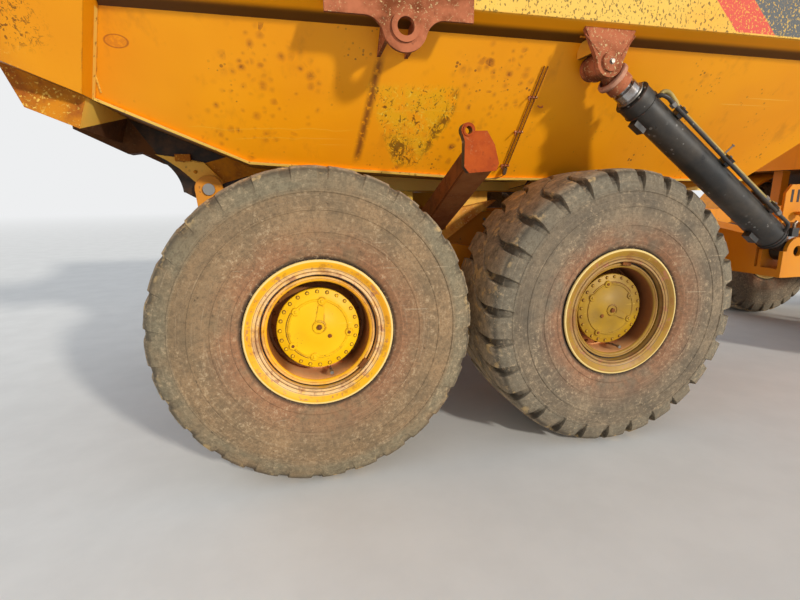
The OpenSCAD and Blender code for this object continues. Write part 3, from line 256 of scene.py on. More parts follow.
def body_paint(name):
    """The tub: peeled pale rail, stripes, a lip painted bright as a painted highlight, a painted highlight and a
    painted shadow under the ledge, scuffs and rust streaks of its right wall.
    """
    coat = Finish(name, Specular_IOR_Level=0.3)
    x, z, side, up, line = coat.x, coat.z, coat.side, coat.up, coat.line
    low_wall = z.ramp(LEDGE_Z - 0.01, LEDGE_Z - 0.02)
    wall = coat.right * low_wall
    spotty = None
    for place_x, place_z, reach in ((-2.73, 2.39, 0.34), (-4.0, 2.24, 0.3), (-4.13, 2.42, 0.26),
                                    (-2.95, 1.98, 0.25), (-4.3, 2.1, 0.3)):
        blob = coat.away(x - place_x, z - place_z).ramp(reach, reach * 0.3)
        spotty = blob if spotty is None else spotty | blob
    roughness, height = coat.weather(YELLOW, 0.5, 0.06, extra=spotty * wall)
    # Underside of the ledge: its outer half is kept yellow, a painted highlight where the low sun lit it; its
    # inner half is painted dark, a painted shadow
    under = up.ramp(-0.8, -0.88) * z.between(LEDGE_Z - 0.03, LEDGE_Z + 0.1, 0.01)
    coat.layer(YELLOW, under * side.ramp(1.575, 1.625) * 0.85)
    coat.layer(srgb(44, 24, 8), under * side.ramp(1.6, 1.56) * 0.6)
    foot = z.between(FLOOR_Z - 0.05, FLOOR_Z + 0.07, 0.05) * side.ramp(1.2, 1.3)
    coat.layer(srgb(250, 196, 44), foot * 0.6)
    # Bright lip along the floor's edge: pale yellow as a painted highlight, with rust over it
    beyond = side - (z * WALL_SLOPE + (LEDGE_HALF - WALL_SLOPE * LEDGE_Z))
    lip = beyond.between(0.007, 0.05, 0.003) * low_wall * up.ramp(-0.75, -0.68)
    coat.layer(LIP_YELLOW, lip * 0.9)
    coat.layer(RUST, lip * coat.patches(26, 5, 0.6, 0.66) * 0.7)
    # Peeled top coat on the rails
    rail = z.ramp(LEDGE_Z + 0.052, LEDGE_Z + 0.066)
    coat.layer(PALE_YELLOW, rail * coat.patches(0.8, 2, 0.28, 0.5) * 0.9)
    bare = coat.patches(2.2, 4, 0.48, 0.66)
    coat.layer(srgb(250, 196, 60), rail * bare * coat.patches(52, 6, 0.49, 0.54, roughness=0.8) * 0.6)
    speck = coat.patches(1.0, 3, 0.575, 0.61, coat.stretched((74, 74, 50)), 0.5)
    coat.layer(srgb(112, 84, 24), rail * speck * 0.85)
    # Slanted stripes near the front of the rail
    slant = line(1.0, 1.05)
    kept = 1 - coat.patches(64, 4, 0.55, 0.6, roughness=0.7) * 0.85
    kept = z.between(2.655, 3.04, 0.003) * side.ramp(RAIL_HALF - 0.005, RAIL_HALF - 0.002) * kept
    coat.layer(RED, slant.between(1.475, 1.775, 0.003) * kept)
    coat.layer(GREY, slant.between(1.775, 3.35, 0.003) * kept)
    # Scuffed patch, narrower towards its foot: dark strokes on the left, pale ones on the right
    patch = (line(1.0, 0.565).ramp(-2.246, -2.186) * wall * line(1.0, -0.6).ramp(-4.236, -4.296)
             * x.ramp(-2.93, -2.97) * z.between(1.9, 2.33, 0.03))
    dark = patch * coat.strokes(34, 13, 0.575, 0.605)
    pale = patch * coat.strokes(24, 34, 0.56, 0.62, (7, 0, 3))
    coat.layer(srgb(238, 184, 24), patch * coat.patches(9, 4, 0.35, 0.6) * 0.6)
    coat.layer(srgb(250, 208, 70), pale * 0.7)
    right_edge = line(1.0, -0.4).ramp(-3.93, -3.87) * z.ramp(1.93, 2.0)
    left_foot = line(1.0, 0.4).ramp(-2.36, -2.44) * z.ramp(2.1, 2.02)
    rim = patch * coat.strokes(20, 5.5, 0.49, 0.53, (2, 0, 8)) * (right_edge | left_foot)
    coat.layer(srgb(104, 62, 18), dark * 0.85 | rim * 0.8)
    # Streak of rust under the side plate
    streak = (line(1.0, -0.17).between(-3.902, -3.862, 0.022) * z.between(1.93, 2.46, 0.04)
              * wall * coat.patches(30, 5, 0.3, 0.5))
    coat.layer(srgb(122, 66, 18), streak * 0.9)
    # Long pale scratches
    waving = z + coat.noise(1.0, 3, coat.stretched((2.2, 0, 0))) * 0.1
    for low, start, end in ((2.142, -4.55, -3.6), (2.092, -4.3, -3.9), (2.265, -3.35, -2.9)):
        scratch = waving.between(low, low + 0.0025, 0.0015) * wall * x.between(start, end, 0.05)
        coat.layer(srgb(252, 196, 64), scratch * 0.6)
    # Oval rust ring near the tail's post
    ring = coat.away(x + 4.822, (z - 2.457) * 2.1)
    oval = ring.ramp(0.062, 0.054) * wall
    coat.layer(srgb(206, 112, 30), oval * coat.patches(60, 3, 0.35, 0.6) * 0.45)
    coat.layer(srgb(168, 84, 26), oval * ring.ramp(0.046, 0.053) * 0.7)
    # End of the tail: darker orange all over, dark strokes high up and pale rubbed strokes
    tail = x.ramp(-5.12, -5.38) * low_wall
    coat.layer(srgb(206, 118, 22), tail * 0.55)
    upper = x.ramp(-5.02, -5.16) * z.ramp(2.34, 2.42) * low_wall
    coat.layer(srgb(112, 64, 14), upper * coat.strokes(40, 22, 0.545, 0.58) * 0.85)
    coat.layer(LIP_YELLOW, tail * coat.strokes(34, 26, 0.6, 0.64, (5, 0, 5)) * 0.7)
    return coat.done(roughness + (streak + rail) * 0.15, height - (dark + pale * 0.5), 0.0012,
                     round_edges=0.005)


def bolster_paint(name):
    """Bolsters under the tub: dusty yellow, their sides ahead of the tail painted paler as a painted highlight,
    and painted shade over the hinge plates at the tail.
    """
    coat = Finish(name, Specular_IOR_Level=0.3)
    roughness, height = coat.weather(srgb(240, 176, 40), 0.6, 0.3)
    # Painted highlight: the sides of the bolsters ahead of the tail turn paler
    coat.layer(srgb(255, 218, 110), coat.x.ramp(-3.8, -3.5) * coat.side.ramp(0.5, 0.56) * 0.8)
    # Painted shade: dark browns over the hinge plates at the tail
    tail_shade = coat.blend(coat.patches(12, 5, 0.4, 0.7), srgb(40, 27, 14), srgb(80, 50, 22))
    coat.layer(tail_shade, coat.x.ramp(-4.27, -4.29) * coat.side.ramp(0.64, 0.62))
    return coat.done(roughness, height, 0.001, round_edges=0.003)


def load_floor(name):
    """Inside of the tub: paint gone, steel polished by rock, rusting in patches, some paint left near the top."""
    coat = Finish(name, Metallic=0.55)
    coat.colour = coat.blend(coat.patches(1.6, 6, 0.35, 0.7), srgb(120, 84, 60), srgb(138, 128, 118))
    drag = coat.patches(1.0, 5, 0.42, 0.62, coat.stretched((1.2, 22, 22)))
    coat.layer(srgb(176, 168, 158), drag * 0.6)
    coat.layer(DEEP_YELLOW, coat.z.ramp(2.75, 3.0) * coat.patches(5, 5, 0.4, 0.6))
    return coat.done(0.75 - drag * 0.3, coat.noise(30, 6), 0.003)


def rusty(name, flecks=0.6, tint=PRIMER, deep=RUST, fleck_colour=srgb(232, 208, 150)):
    coat = Finish(name, Metallic=0.0, Specular_IOR_Level=0.25)
    coat.colour = coat.blend(coat.patches(7, 6, 0.35, 0.7), tint, deep)
    fleck = coat.patches(64, 5, 0.57, 0.63, roughness=0.7) * coat.patches(3.5, 3, 0.38, 0.6) * flecks
    coat.layer(fleck_colour, fleck)
    coat.layer(DARK_RUST, coat.patches(15, 5, 0.6, 0.75) * 0.6)
    # Painted shade: faces that face down turn dark brown
    coat.layer(UNDERSIDE_SHADE_BROWN, coat.up.ramp(-0.6, -0.9) * 0.7)
    return coat.done(0.85 - fleck * 0.25, coat.noise(48, 6) + fleck, 0.002, round_edges=0.004)


def tyre_rubber(name, low, high, outer):
    """Dusty rubber about a wheel's own centre: brown towards the rim, another tone at the shoulder."""
    coat = Finish(name, Specular_IOR_Level=0.25)
    radius = coat.away(coat.x, coat.z)
    cloud = coat.noise(3.4, 6, roughness=0.7)
    coat.colour = coat.blend(cloud.ramp(0.3, 0.72), low, high)
    coat.layer(outer, radius.between(0.79, 0.93, 0.03) * coat.patches(2.4, 4, 0.25, 0.6) * 0.7)
    coat.layer(srgb(166, 112, 78), radius.ramp(0.68, 0.43) * coat.patches(5, 5, 0.25, 0.6) * 0.75)
    # Painted shade in the gap between the tyre and the rim's flange
    coat.layer(srgb(52, 38, 28), radius.ramp(0.452, 0.428) * 0.85)
    coat.layer(srgb(190, 168, 138), radius.ramp(0.895, 0.92) * coat.patches(11, 5, 0.3, 0.65) * 0.8)
    coat.layer(srgb(62, 56, 50), coat.side.ramp(0.345, 0.325) * radius.ramp(0.915, 0.9) * 0.55)
    # Rubbed lines round the wheel, and cuts that cross them
    turned = coat.node("ShaderNodeCombineXYZ", {0: coat.x / radius, 1: radius * 95.0, 2: coat.z / radius})
    rubbed = coat.patches(1.6, 4, 0.55, 0.7, turned, 0.7) * radius.ramp(0.9, 0.86)
    coat.layer(srgb(196, 172, 140), rubbed * 0.35)
    cut = coat.patches(1.0, 2, 0.7, 0.725, coat.stretched((3.0, 1.0, 95.0), turn=(0, 0.9, 0)))
    cut = cut * coat.patches(2.1, 2, 0.5, 0.6) * radius.between(0.5, 0.88, 0.03)
    coat.layer(srgb(206, 184, 152), cut * 0.55)
    grain = coat.noise(150, 4)
    mottle = coat.noise(38, 7, roughness=0.8)
    coat.layer(srgb(92, 78, 62), mottle.ramp(0.49, 0.6) * 0.42)
    coat.layer(srgb(208, 182, 146), mottle.ramp(0.47, 0.38) * coat.patches(4.5, 4, 0.3, 0.66) * 0.6)
    coat.layer(srgb(74, 64, 54), grain.ramp(0.5, 0.72) * 0.4)
    nicks = coat.patches(34, 5, 0.64, 0.68, roughness=0.8)
    coat.layer(srgb(56, 46, 38), nicks * 0.7)
    coat.layer(srgb(218, 184, 128), coat.patches(14, 5, 0.55, 0.66) * radius.ramp(0.86, 0.91) * 0.75)
    return coat.done(cloud.ramp(-1.2, 1.1), grain * 0.35 + rubbed * 0.3 - (nicks + cut), 0.0016, 0.7)


def rim_paint(name, base, faded, worn):
    """Rim about a wheel's own centre: bright flange, worn rings with painted shade in the grooves between them,
    rust and dirt down in the barrel.
    """
    coat = Finish(name, Specular_IOR_Level=0.3)
    radius = coat.away(coat.x, coat.z)
    roughness, height = coat.weather(base, 0.3, 0.15, 2.0, faded)
    face = coat.side.ramp(0.29, 0.3)
    coat.layer(srgb(255, 226, 150), radius.ramp(0.408, 0.413) * face * 0.8)
    coat.layer(worn, radius.between(0.296, 0.376, 0.006) * coat.patches(12, 5, 0.24, 0.55) * face * 0.85)
    flaked = radius.between(0.33, 0.405, 0.01) * coat.patches(21, 5, 0.55, 0.63) * face
    coat.layer(srgb(176, 112, 84), flaked * 0.7)
    # Painted shade: dark lines in the grooves between the rings
    for ring, width, depth in ((0.3215, 0.003, 0.95), (0.335, 0.0022, 0.8), (0.3525, 0.003, 0.9),
                               (0.3715, 0.0022, 0.8), (0.309, 0.0016, 0.7), (0.2965, 0.0016, 0.6)):
        coat.layer(srgb(58, 34, 18), radius.between(ring, ring + width, 0.0012) * face * depth)
    stain = radius.between(0.297, 0.4, 0.01) * coat.patches(8, 5, 0.5, 0.62, roughness=0.7) * face
    coat.layer(srgb(140, 78, 40), stain * 0.45)
    coat.layer(srgb(132, 76, 46), coat.side.ramp(0.288, 0.276) * coat.patches(9, 5, 0.2, 0.45) * 0.9)
    coat.layer(srgb(232, 170, 112), coat.side.ramp(0.285, 0.275) * coat.z.ramp(-0.2, -0.27))
    return coat.done(roughness, height, 0.001)


def satin_black(name, dust=0.35, base=BLACK):
    coat = Finish(name)
    coat.colour = base
    film = coat.patches(2.6, 8, 0.36, 0.85, roughness=0.75)
    coat.layer(DUST, film * dust * (coat.up.ramp(0.2, 0.9) * 0.5 + 0.5))
    coat.layer(STEEL, coat.spots(40, 0.45) * coat.patches(6, 3, 0.5, 0.65) * 0.6)
    coat.layer(RUST, coat.edge_wear(0.008) * coat.patches(22, 4, 0.45, 0.6) * 0.7)
    return coat.done(coat.patches(9, 4, -0.3, 1.4), coat.noise(90, 4), 0.0006, round_edges=0.003)


def bare_metal(name, base, rough, stretch=(1, 1, 1)):
    coat = Finish(name, Metallic=0.9)
    grain = coat.noise(60, 4, coat.stretched(stretch))
    coat.colour = coat.blend(coat.patches(5, 5, 0.45, 0.75), base, srgb(120, 96, 74))
    return coat.done(grain * 0.2 + rough, grain, 0.0003)


def glass(name, tint):
    coat = Finish(name, Transmission_Weight=0.92, IOR=1.45, Roughness=0.03)
    film = coat.patches(2.2, 5, 0.4, 0.8) * 0.35
    coat.colour = coat.blend(film, tint, srgb(196, 190, 176))
    return coat.done(film * 0.4 + 0.03)


def fabric(name, base):
    coat = Finish(name, Sheen_Weight=0.3)
    weave, cross = (coat.node("ShaderNodeTexWave", {"Vector": coat.place, "Scale": 260.0}, "Fac",
                              wave_type="BANDS", bands_direction=way) for way in "XY")
    threads = weave * cross
    coat.colour = coat.blend(threads.ramp(0.2, 0.8), base, srgb(88, 88, 92))
    coat.layer(DUST, coat.patches(5, 4, 0.45, 0.8) * 0.4)
    return coat.done(None, threads, 0.0008)


def plastic(name, base, rough=0.5):
    coat = Finish(name, Roughness=rough)
    coat.colour = base
    coat.layer(DUST, coat.patches(6, 5, 0.4, 0.8) * 0.35)
    return coat.done(None, coat.noise(320, 3), 0.0004)


# Each finish by name: what makes it, and what that is given after the name
FINISHES = {
    "body_yellow": (body_paint,),
    "frame_yellow": (paint, srgb(230, 146, 18), 0.8, 0.5, 1.0, srgb(196, 112, 30)),
    "bolster_yellow": (paint, YELLOW, 0.6, 0.1, 1.0, LIP_YELLOW),
    "cab_yellow": (paint, YELLOW, 0.2, 0.15),
    "hub_yellow": (paint, srgb(255, 200, 0), 0.0, 0.05, 3.0, srgb(246, 184, 0)),
    "hub_dusty": (paint, srgb(190, 146, 26), 0.4, 0.35, 3.0, srgb(128, 98, 42)),
    # Pale paint for the inner hoist pipe, standing in for the highlight along it: a painted highlight
    "pale_pipe": (paint, srgb(196, 172, 96), 0.3, 0.5, 3.0, srgb(120, 104, 70)),
    "pale_strip": (paint, srgb(250, 200, 70), 0.5, 0.3, 2.0, srgb(226, 158, 40)),
    "bolster_paint": (bolster_paint,),
    "load_steel": (load_floor,),
    "rusty_steel": (rusty, 1.0),
    # Dark brown for shaded undersides and the tail under the tub, a painted shade
    "under_brown": (rusty, 0.1, srgb(96, 56, 22), srgb(66, 38, 18)),
    "tail_rust": (rusty, 1.0, srgb(214, 134, 24), srgb(158, 84, 26), srgb(252, 200, 88)),
    "dark_rust": (rusty, 0.12, srgb(140, 82, 36), srgb(100, 56, 26)),
    "lit_rust": (rusty, 0.3, srgb(216, 138, 76), srgb(180, 98, 44)),
    "pink_rust": (rusty, 0.2, srgb(214, 160, 132), srgb(176, 112, 84)),
    "orange_rust": (rusty, 0.1, srgb(184, 80, 22), srgb(158, 62, 18)),
    # Pale sunlit rust for the frame's gussets, a painted light
    "gusset_rust": (rusty, 1.0, srgb(248, 178, 74), srgb(206, 112, 40), srgb(255, 224, 140)),
    "tyre_brown": (tyre_rubber, srgb(128, 108, 82), srgb(162, 132, 98), srgb(132, 126, 104)),
    "tyre_rubber": (tyre_rubber, srgb(104, 94, 80), srgb(150, 132, 108), srgb(132, 124, 106)),
    "rim_bright": (rim_paint, srgb(250, 184, 20), srgb(236, 156, 14), srgb(240, 200, 146)),
    # Darker, duller rim paint for the middle and front wheels
    "rim_dusty": (rim_paint, srgb(178, 134, 40), srgb(128, 94, 42), srgb(176, 138, 84)),
    "cylinder_black": (satin_black,),
    "black_paint": (satin_black, 0.5),
    "joint_black": (satin_black, 0.2, srgb(24, 18, 14)),
    "mirror_face": (bare_metal, srgb(214, 216, 218), 0.02),
    "rod_chrome": (bare_metal, srgb(196, 196, 198), 0.08, (1, 1, 12)),
    "bare_steel": (bare_metal, STEEL, 0.35),
    "red_glass": (glass, srgb(196, 24, 16)),
    "amber_glass": (glass, srgb(255, 132, 16)),
    "window_glass": (glass, srgb(150, 178, 182)),
    "lamp_glass": (glass, srgb(240, 240, 236)),
    "hose_rubber": (plastic, srgb(30, 30, 30), 0.6),
    "black_plastic": (plastic, srgb(38, 38, 40)),
    "seat_fabric": (fabric, srgb(48, 48, 52)),
}
made_materials = {}


def material(name):
    if name not in made_materials:
        make, *given = FINISHES[name]
        made_materials[name] = make(name, *given)
    return made_materials[name]


class Piece:
    """Gathers small solids into one mesh that rides on a body. kind picks one of the piece's materials.

    Places are given as on the left side, and go to the right side while s is -1.
    """

    def __init__(self, name, body, *materials, at=(0, 0, 0), s=1):
        self.name, self.body, self.materials, self.at, self.s = name, body, materials, Vector(at), s
        self.points, self.faces, self.kinds = [], [], []

    def sided(self, point):
        return Vector((point[0], point[1] * self.s, point[2]))

    def skin(self, rings, kind=0, caps=True):
        """Joins rings of equally many points, one after another, and closes both ends. Mirrors nothing."""
        start, count = len(self.points), len(rings[0])
        self.points += [tuple(point) for ring in rings for point in ring]
        faces = []
        for row in range(len(rings) - 1):
            for i in range(count):
                near, far = row * count + i, row * count + (i + 1) % count
                faces.append([near, far, far + count, near + count])
        if caps:
            faces += [list(range(count))[::-1], [(len(rings) - 1) * count + i for i in range(count)]]
        self.faces += [[start + index for index in face] for face in faces]
        self.kinds += [kind] * len(faces)

    def loft(self, rings, kind=0):
        self.skin([[self.sided(point) for point in ring] for ring in rings], kind)

    def block(self, x, y, z, kind=0):
        ring = [(x[0], y[0]), (x[1], y[0]), (x[1], y[1]), (x[0], y[1])]
        self.loft([[(a, b, height) for a, b in ring] for height in z], kind)

    def prism(self, outline, y, kind=0):
        """An outline of X and Z, as thick as from y[0] to y[1]."""
        self.loft([[(a, depth, b) for a, b in outline] for depth in y], kind)

    def lathe(self, profile, origin, axis, kind=0, sides=24, caps=True):
        """A profile of (along, radius) turned about an axis."""
        origin, along = self.sided(origin), self.sided(axis).normalized()
        across = along.orthogonal().normalized()
        self.skin([ring_about(origin + along * step, along, across, max(radius, 1e-5), sides) for step,
                   radius in profile], kind, caps)

    def tube(self, path, radius, kind=0, sides=10, bend=0):
        """A round tube along a path. With bend it's drawn round, in that many steps from point to point."""
        path = [self.sided(point) for point in path]
        if bend:
            path = smooth_curve(path, bend)
        rings, across = [], None
        for i, point in enumerate(path):
            ahead = (path[min(i + 1, len(path) - 1)] - path[max(i - 1, 0)]).normalized()
            across = ahead.orthogonal() if across is None else across - ahead * across.dot(ahead)
            across.normalize()
            rings.append(ring_about(point, ahead, across, radius, sides))
        self.skin(rings, kind)

    def bolt(self, place, axis, size, kind=0, washer=True):
        """A hexagon head on its washer."""
        if washer:
            self.lathe([(0, size * 1.15), (size * 0.18, size * 1.15)], place, axis, kind, 14)
        self.lathe([(0, size), (size * 0.75, size), (size * 0.85, size * 0.85)], place, axis, kind, 6)

    def weld(self, path, size, kind=0):
        """A bead with its ripples along a path."""
        path = [Vector(point) for point in path]
        steps = []
        for first, last in zip(path, path[1:]):
            count = max(2, int((last - first).length / (size * 1.4)))
            steps += [first.lerp(last, i / count) for i in range(count)]
        steps.append(path[-1])
        for i, (first, last) in enumerate(zip(steps, steps[1:])):
            self.tube([first, (first + last) / 2, last], size * (0.8 if i % 2 else 1.0), kind, 6)

    def done(self, bevel=0.0, smooth=35, replaces=()):
        mesh = bpy.data.meshes.new(self.name)
        mesh.from_pydata(self.points, [], self.faces)
        for name in self.materials:
            mesh.materials.append(material(name))
        mesh.polygons.foreach_set("material_index", self.kinds)
        shape = bmesh.new()
        shape.from_mesh(mesh)
        bmesh.ops.recalc_face_normals(shape, faces=shape.faces)
        shape.to_mesh(mesh)
        shape.free()
        mesh.shade_smooth()
        mesh.set_sharp_from_angle(angle=math.radians(smooth))
        made = placed(self.name, mesh)
        made.location = self.at
        if bevel:
            rounding = made.modifiers.new("rounding", "BEVEL")
            rounding.width, rounding.segments, rounding.limit_method = bevel, 2, "ANGLE"
            rounding.angle_limit = math.radians(40)
            rounding.harden_normals = False
        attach(made, self.body)
        if replaces:
            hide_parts(*replaces)
        return made


def placed(name, data):
    """An object with this data, in the scene."""
    made = bpy.data.objects.new(name, data)
    bpy.context.scene.collection.objects.link(made)
    return made


def ring_about(centre, along, across, radius, sides):
    other = along.cross(across)
    turns = [2 * math.pi * i / sides for i in range(sides)]
    return [centre + (across * math.cos(a) + other * math.sin(a)) * radius for a in turns]


def smooth_curve(points, count):
    """Points along a Catmull-Rom curve through the given ones."""
    ends = [points[0] * 2 - points[1]] + points + [points[-1] * 2 - points[-2]]
    curve = []
    for i in range(1, len(ends) - 2):
        a, b, c, d = ends[i - 1:i + 3]
        for k in range(count):
            t = k / count
            curve.append(0.5 * (2 * b + (c - a) * t + (2 * a - 5 * b + 4 * c - d) * t ** 2
                                + (3 * b - a - 3 * c + d) * t ** 3))
    return curve + [points[-1]]


# Half of a tyre's section, radius and distance from its middle, from the bead to the crown
TYRE_SECTION = [
    (0.352, 0.3), (0.405, 0.312), (0.424, 0.322), (0.438, 0.334), (0.45, 0.343), (0.462, 0.349),
    (0.47, 0.3555), (0.477, 0.357), (0.484, 0.3525), (0.53, 0.365), (0.571, 0.3705), (0.575, 0.3745),
    (0.582, 0.3748), (0.586, 0.3712), (0.64, 0.3738), (0.686, 0.373), (0.69, 0.3772), (0.697, 0.377),
    (0.701, 0.3722), (0.745, 0.369), (0.78, 0.363), (0.785, 0.3685), (0.795, 0.368), (0.8, 0.363),
    (0.812, 0.3625), (0.84, 0.357), (0.866, 0.3485), (0.888, 0.338), (0.905, 0.324), (0.9175, 0.305),
    (0.9235, 0.27), (0.927, 0.22), (0.929, 0.15), (0.9298, 0.075), (0.93, 0.0),
]
# Row of the section where the tread ends and the shoulder begins
TREAD_EDGE = 29


def tyre(axle, side):
    """Carcass and tread on one grid whose columns follow the grooves."""
    wear = {"rear": 0.3, "middle": 1.0, "front": 0.85}[axle]
    half = np.array(TYRE_SECTION)
    section = np.vstack([half, (half * [1, -1])[-2::-1]])
    arc = np.concatenate([[0], np.cumsum(np.linalg.norm(np.diff(section, axis=0), axis=1))])
    middle = arc[len(half) - 1]
    across = (middle - arc) / (middle - arc[TREAD_EDGE])
    reach = np.abs(across)
    tangent = np.gradient(section, axis=0)
    inward = np.stack([-tangent[:, 1], tangent[:, 0]], 1)
    inward /= np.linalg.norm(inward, axis=1)[:, None]
    inward *= np.where((inward * (section - [0.6, 0])).sum(1) > 0, -1, 1)[:, None]
    depth = np.interp(reach, [0, 0.2, 0.45, 1.0, 1.22, 1.55], [0.01, 0.014, 0.034, 0.04, 0.03,
                                                                0]) * wear
    width = np.interp(reach, [0, 0.3, 0.6, 1.0, 1.25, 1.55], [0.009, 0.015, 0.04, 0.062, 0.052, 0.016])
    shift = 0.75 * np.tanh(2.6 * across)
    pitch = 2 * math.pi / LUGS
    points = []
    for row, (radius, offset) in enumerate(section):
        lip = 0.004 / radius
        gap_half = width[row] / radius / 2
        lug = np.linspace(gap_half + lip, pitch - gap_half - lip, 7)[1:-1]
        local = np.concatenate([[-gap_half - lip, -gap_half + lip, gap_half - lip, gap_half + lip], lug])
        sunk = np.tile([0, 1, 1, 0] + [0] * len(lug), LUGS)
        angles = (np.arange(LUGS)[:, None] * pitch + local[None, :] + shift[row] * pitch).ravel()
        scar = random.normal(0, 0.0011, len(angles)) * (reach[row] < 1.4) * (sunk == 0)
        drop = depth[row] * sunk + np.abs(scar)
        r = radius + inward[row, 0] * drop
        y = offset + inward[row, 1] * drop
        points.append(np.stack([r * np.sin(angles), y, r * np.cos(angles)], 1))
    piece = Piece("tread_%s_%s" % (axle, side), "wheel_%s_%s" % (axle, side),
                  "tyre_brown" if axle == "rear" else "tyre_rubber", at=pivots["roll_%s_%s" % (axle, side)])
    piece.skin(points, caps=False)
    piece.done(smooth=32, replaces=["tyre_%s_%s" % (axle, side)])


# Rim's section from the hub's cover out over the flange and back inside: distance from the middle, radius
RIM_SECTION = [
    (0.233, 0.0), (0.233, 0.084), (0.23, 0.09), (0.2295, 0.166), (0.2335, 0.169), (0.2335, 0.176),
    (0.2285, 0.179), (0.226, 0.206), (0.222, 0.212), (0.22, 0.232), (0.216, 0.24), (0.196, 0.241),
    (0.194, 0.231), (0.12, 0.231), (0.116, 0.252), (0.096, 0.272), (0.096, 0.2885), (0.262, 0.29),
    (0.284, 0.2925), (0.29, 0.297), (0.293, 0.305), (0.2915, 0.3075), (0.295, 0.31), (0.2955, 0.3205),
    (0.2925, 0.3225), (0.283, 0.3235), (0.283, 0.3325), (0.318, 0.335), (0.326, 0.3365), (0.329, 0.341),
    (0.328, 0.349), (0.3225, 0.3515), (0.3225, 0.355), (0.3265, 0.358), (0.327, 0.368),
    (0.331, 0.374), (0.3375, 0.388), (0.3435, 0.401), (0.3455, 0.411), (0.3445, 0.418),
    (0.3395, 0.4222), (0.33, 0.421), (0.318, 0.41), (0.314, 0.352), (-0.314, 0.352), (-0.318, 0.41),
    (-0.334, 0.422), (-0.344, 0.412), (-0.338, 0.392), (-0.312, 0.358), (-0.3, 0.318), (-0.04, 0.308),
    (-0.05, 0.205), (-0.3, 0.205), (-0.304, 0.0),
]
# Where a hub's plugs sit: angle, distance from the middle
BOSSES = [(0.14, 0.166), (1.74, 0.18), (3.33, 0.172), (4.16, 0.178), (5.42, 0.168)]
OUT, UP, AHEAD = (0, 1, 0), (0, 0, 1), (1, 0, 0)


def rim(axle, side):
    """Rings, flanges, hub cover with its bolts and plugs, valve and hub nuts of one wheel."""
    # The middle and front wheels take darker, duller paint on the rim, and darker, dustier paint on the hub
    looks = ("rim_bright", "hub_yellow") if axle == "rear" else ("rim_dusty", "hub_dusty")
    piece = Piece("rim_rings_%s_%s" % (axle, side), "wheel_%s_%s" % (axle, side), *looks, "bare_steel",
                  "dark_rust", "joint_black", at=pivots["roll_%s_%s" % (axle, side)], s=SIDES[side])
    for first, last, kind, sides in ((0, 13, 1, 96), (12, 26, 0, 128), (25, 27, 4, 128),
                                     (26, None, 0, 128)):
        piece.lathe(RIM_SECTION[first:last], (0, 0, 0), OUT, kind, sides, caps=False)
    turn = {"rear": 0.0, "middle": 1.9, "front": 0.8}[axle]

    def spot(angle, radius, along):
        return Vector((math.sin(angle) * radius, along, math.cos(angle) * radius))

    for i in range(24):
        piece.bolt(spot(turn + i * math.pi / 12, 0.2215, 0.22), OUT, 0.0085, 1, False)
        piece.lathe([(0, 0.0115), (0.0006, 0.0115)], spot(turn + i * math.pi / 12, 0.2215, 0.2216), OUT, 3,
                    12)
    for i, (angle, radius) in enumerate(BOSSES):
        piece.lathe([(0, 0.024), (0.008, 0.023), (0.011, 0.02)], spot(turn + angle, radius, 0.226), OUT, 1,
                    24)
        piece.bolt(spot(turn + angle, radius, 0.234), OUT, 0.0095, 3 if i % 2 else 1)
    piece.tube([spot(turn + 3.5 + i * 0.1, 0.187, 0.2275) for i in range(19)], 0.0022, 3, 6)
    # Plug in the middle with its raised web, a smaller plug beside it
    piece.lathe([(0, 0.04), (0.006, 0.039), (0.008, 0.034), (0.004, 0.031)],
                spot(turn + 0.3, 0.012, 0.2325), OUT, 1, 32)
    piece.bolt(spot(turn + 0.3, 0.012, 0.2355), OUT, 0.016, 3, False)
    web = ((-0.42, 0.046), (0.02, 0.14), (0.26, 0.14), (0.75, 0.046))
    piece.loft([[spot(turn + a, r, along) for a, r in web] for along in (0.2275, 0.235)], 1)
    piece.lathe([(0, 0.012), (0.004, 0.012), (0.005, 0.009)], spot(turn + 2.2, 0.078, 0.232), OUT, 3, 16)
    # Lock ring's driver across its gap, the tyre's valve and the hub's nuts down in the barrel
    angle = {"rear": 2.27, "middle": 0.1, "front": 4.4}[axle]
    for shift in (-0.066, 0.066):
        piece.bolt(spot(angle + shift, 0.3155, 0.294), OUT, 0.006, 3, False)
    key = ((-0.1, 0.311), (0.1, 0.311), (0.085, 0.343), (-0.085, 0.343))
    piece.loft([[spot(angle + a, r, along) for a, r in key] for along in (0.2835, 0.3095)], 3)
    piece.tube([spot(2.9, 0.286, 0.12), spot(2.9, 0.274, 0.18), spot(2.9, 0.268, 0.255)], 0.007, 2)
    piece.lathe([(0, 0.011), (0.022, 0.011)], spot(2.9, 0.268, 0.255), OUT, 2, 12)
    for i in range(20):
        piece.bolt(spot(i * math.pi / 10, 0.262, 0.106), OUT, 0.011, 3)
    piece.done(smooth=40, replaces=["rim_%s_%s" % (axle, side)])


def wall_y(z):
    """Half width of the tub's lower wall at a height."""
    return LEDGE_HALF - WALL_SLOPE * (LEDGE_Z - z)


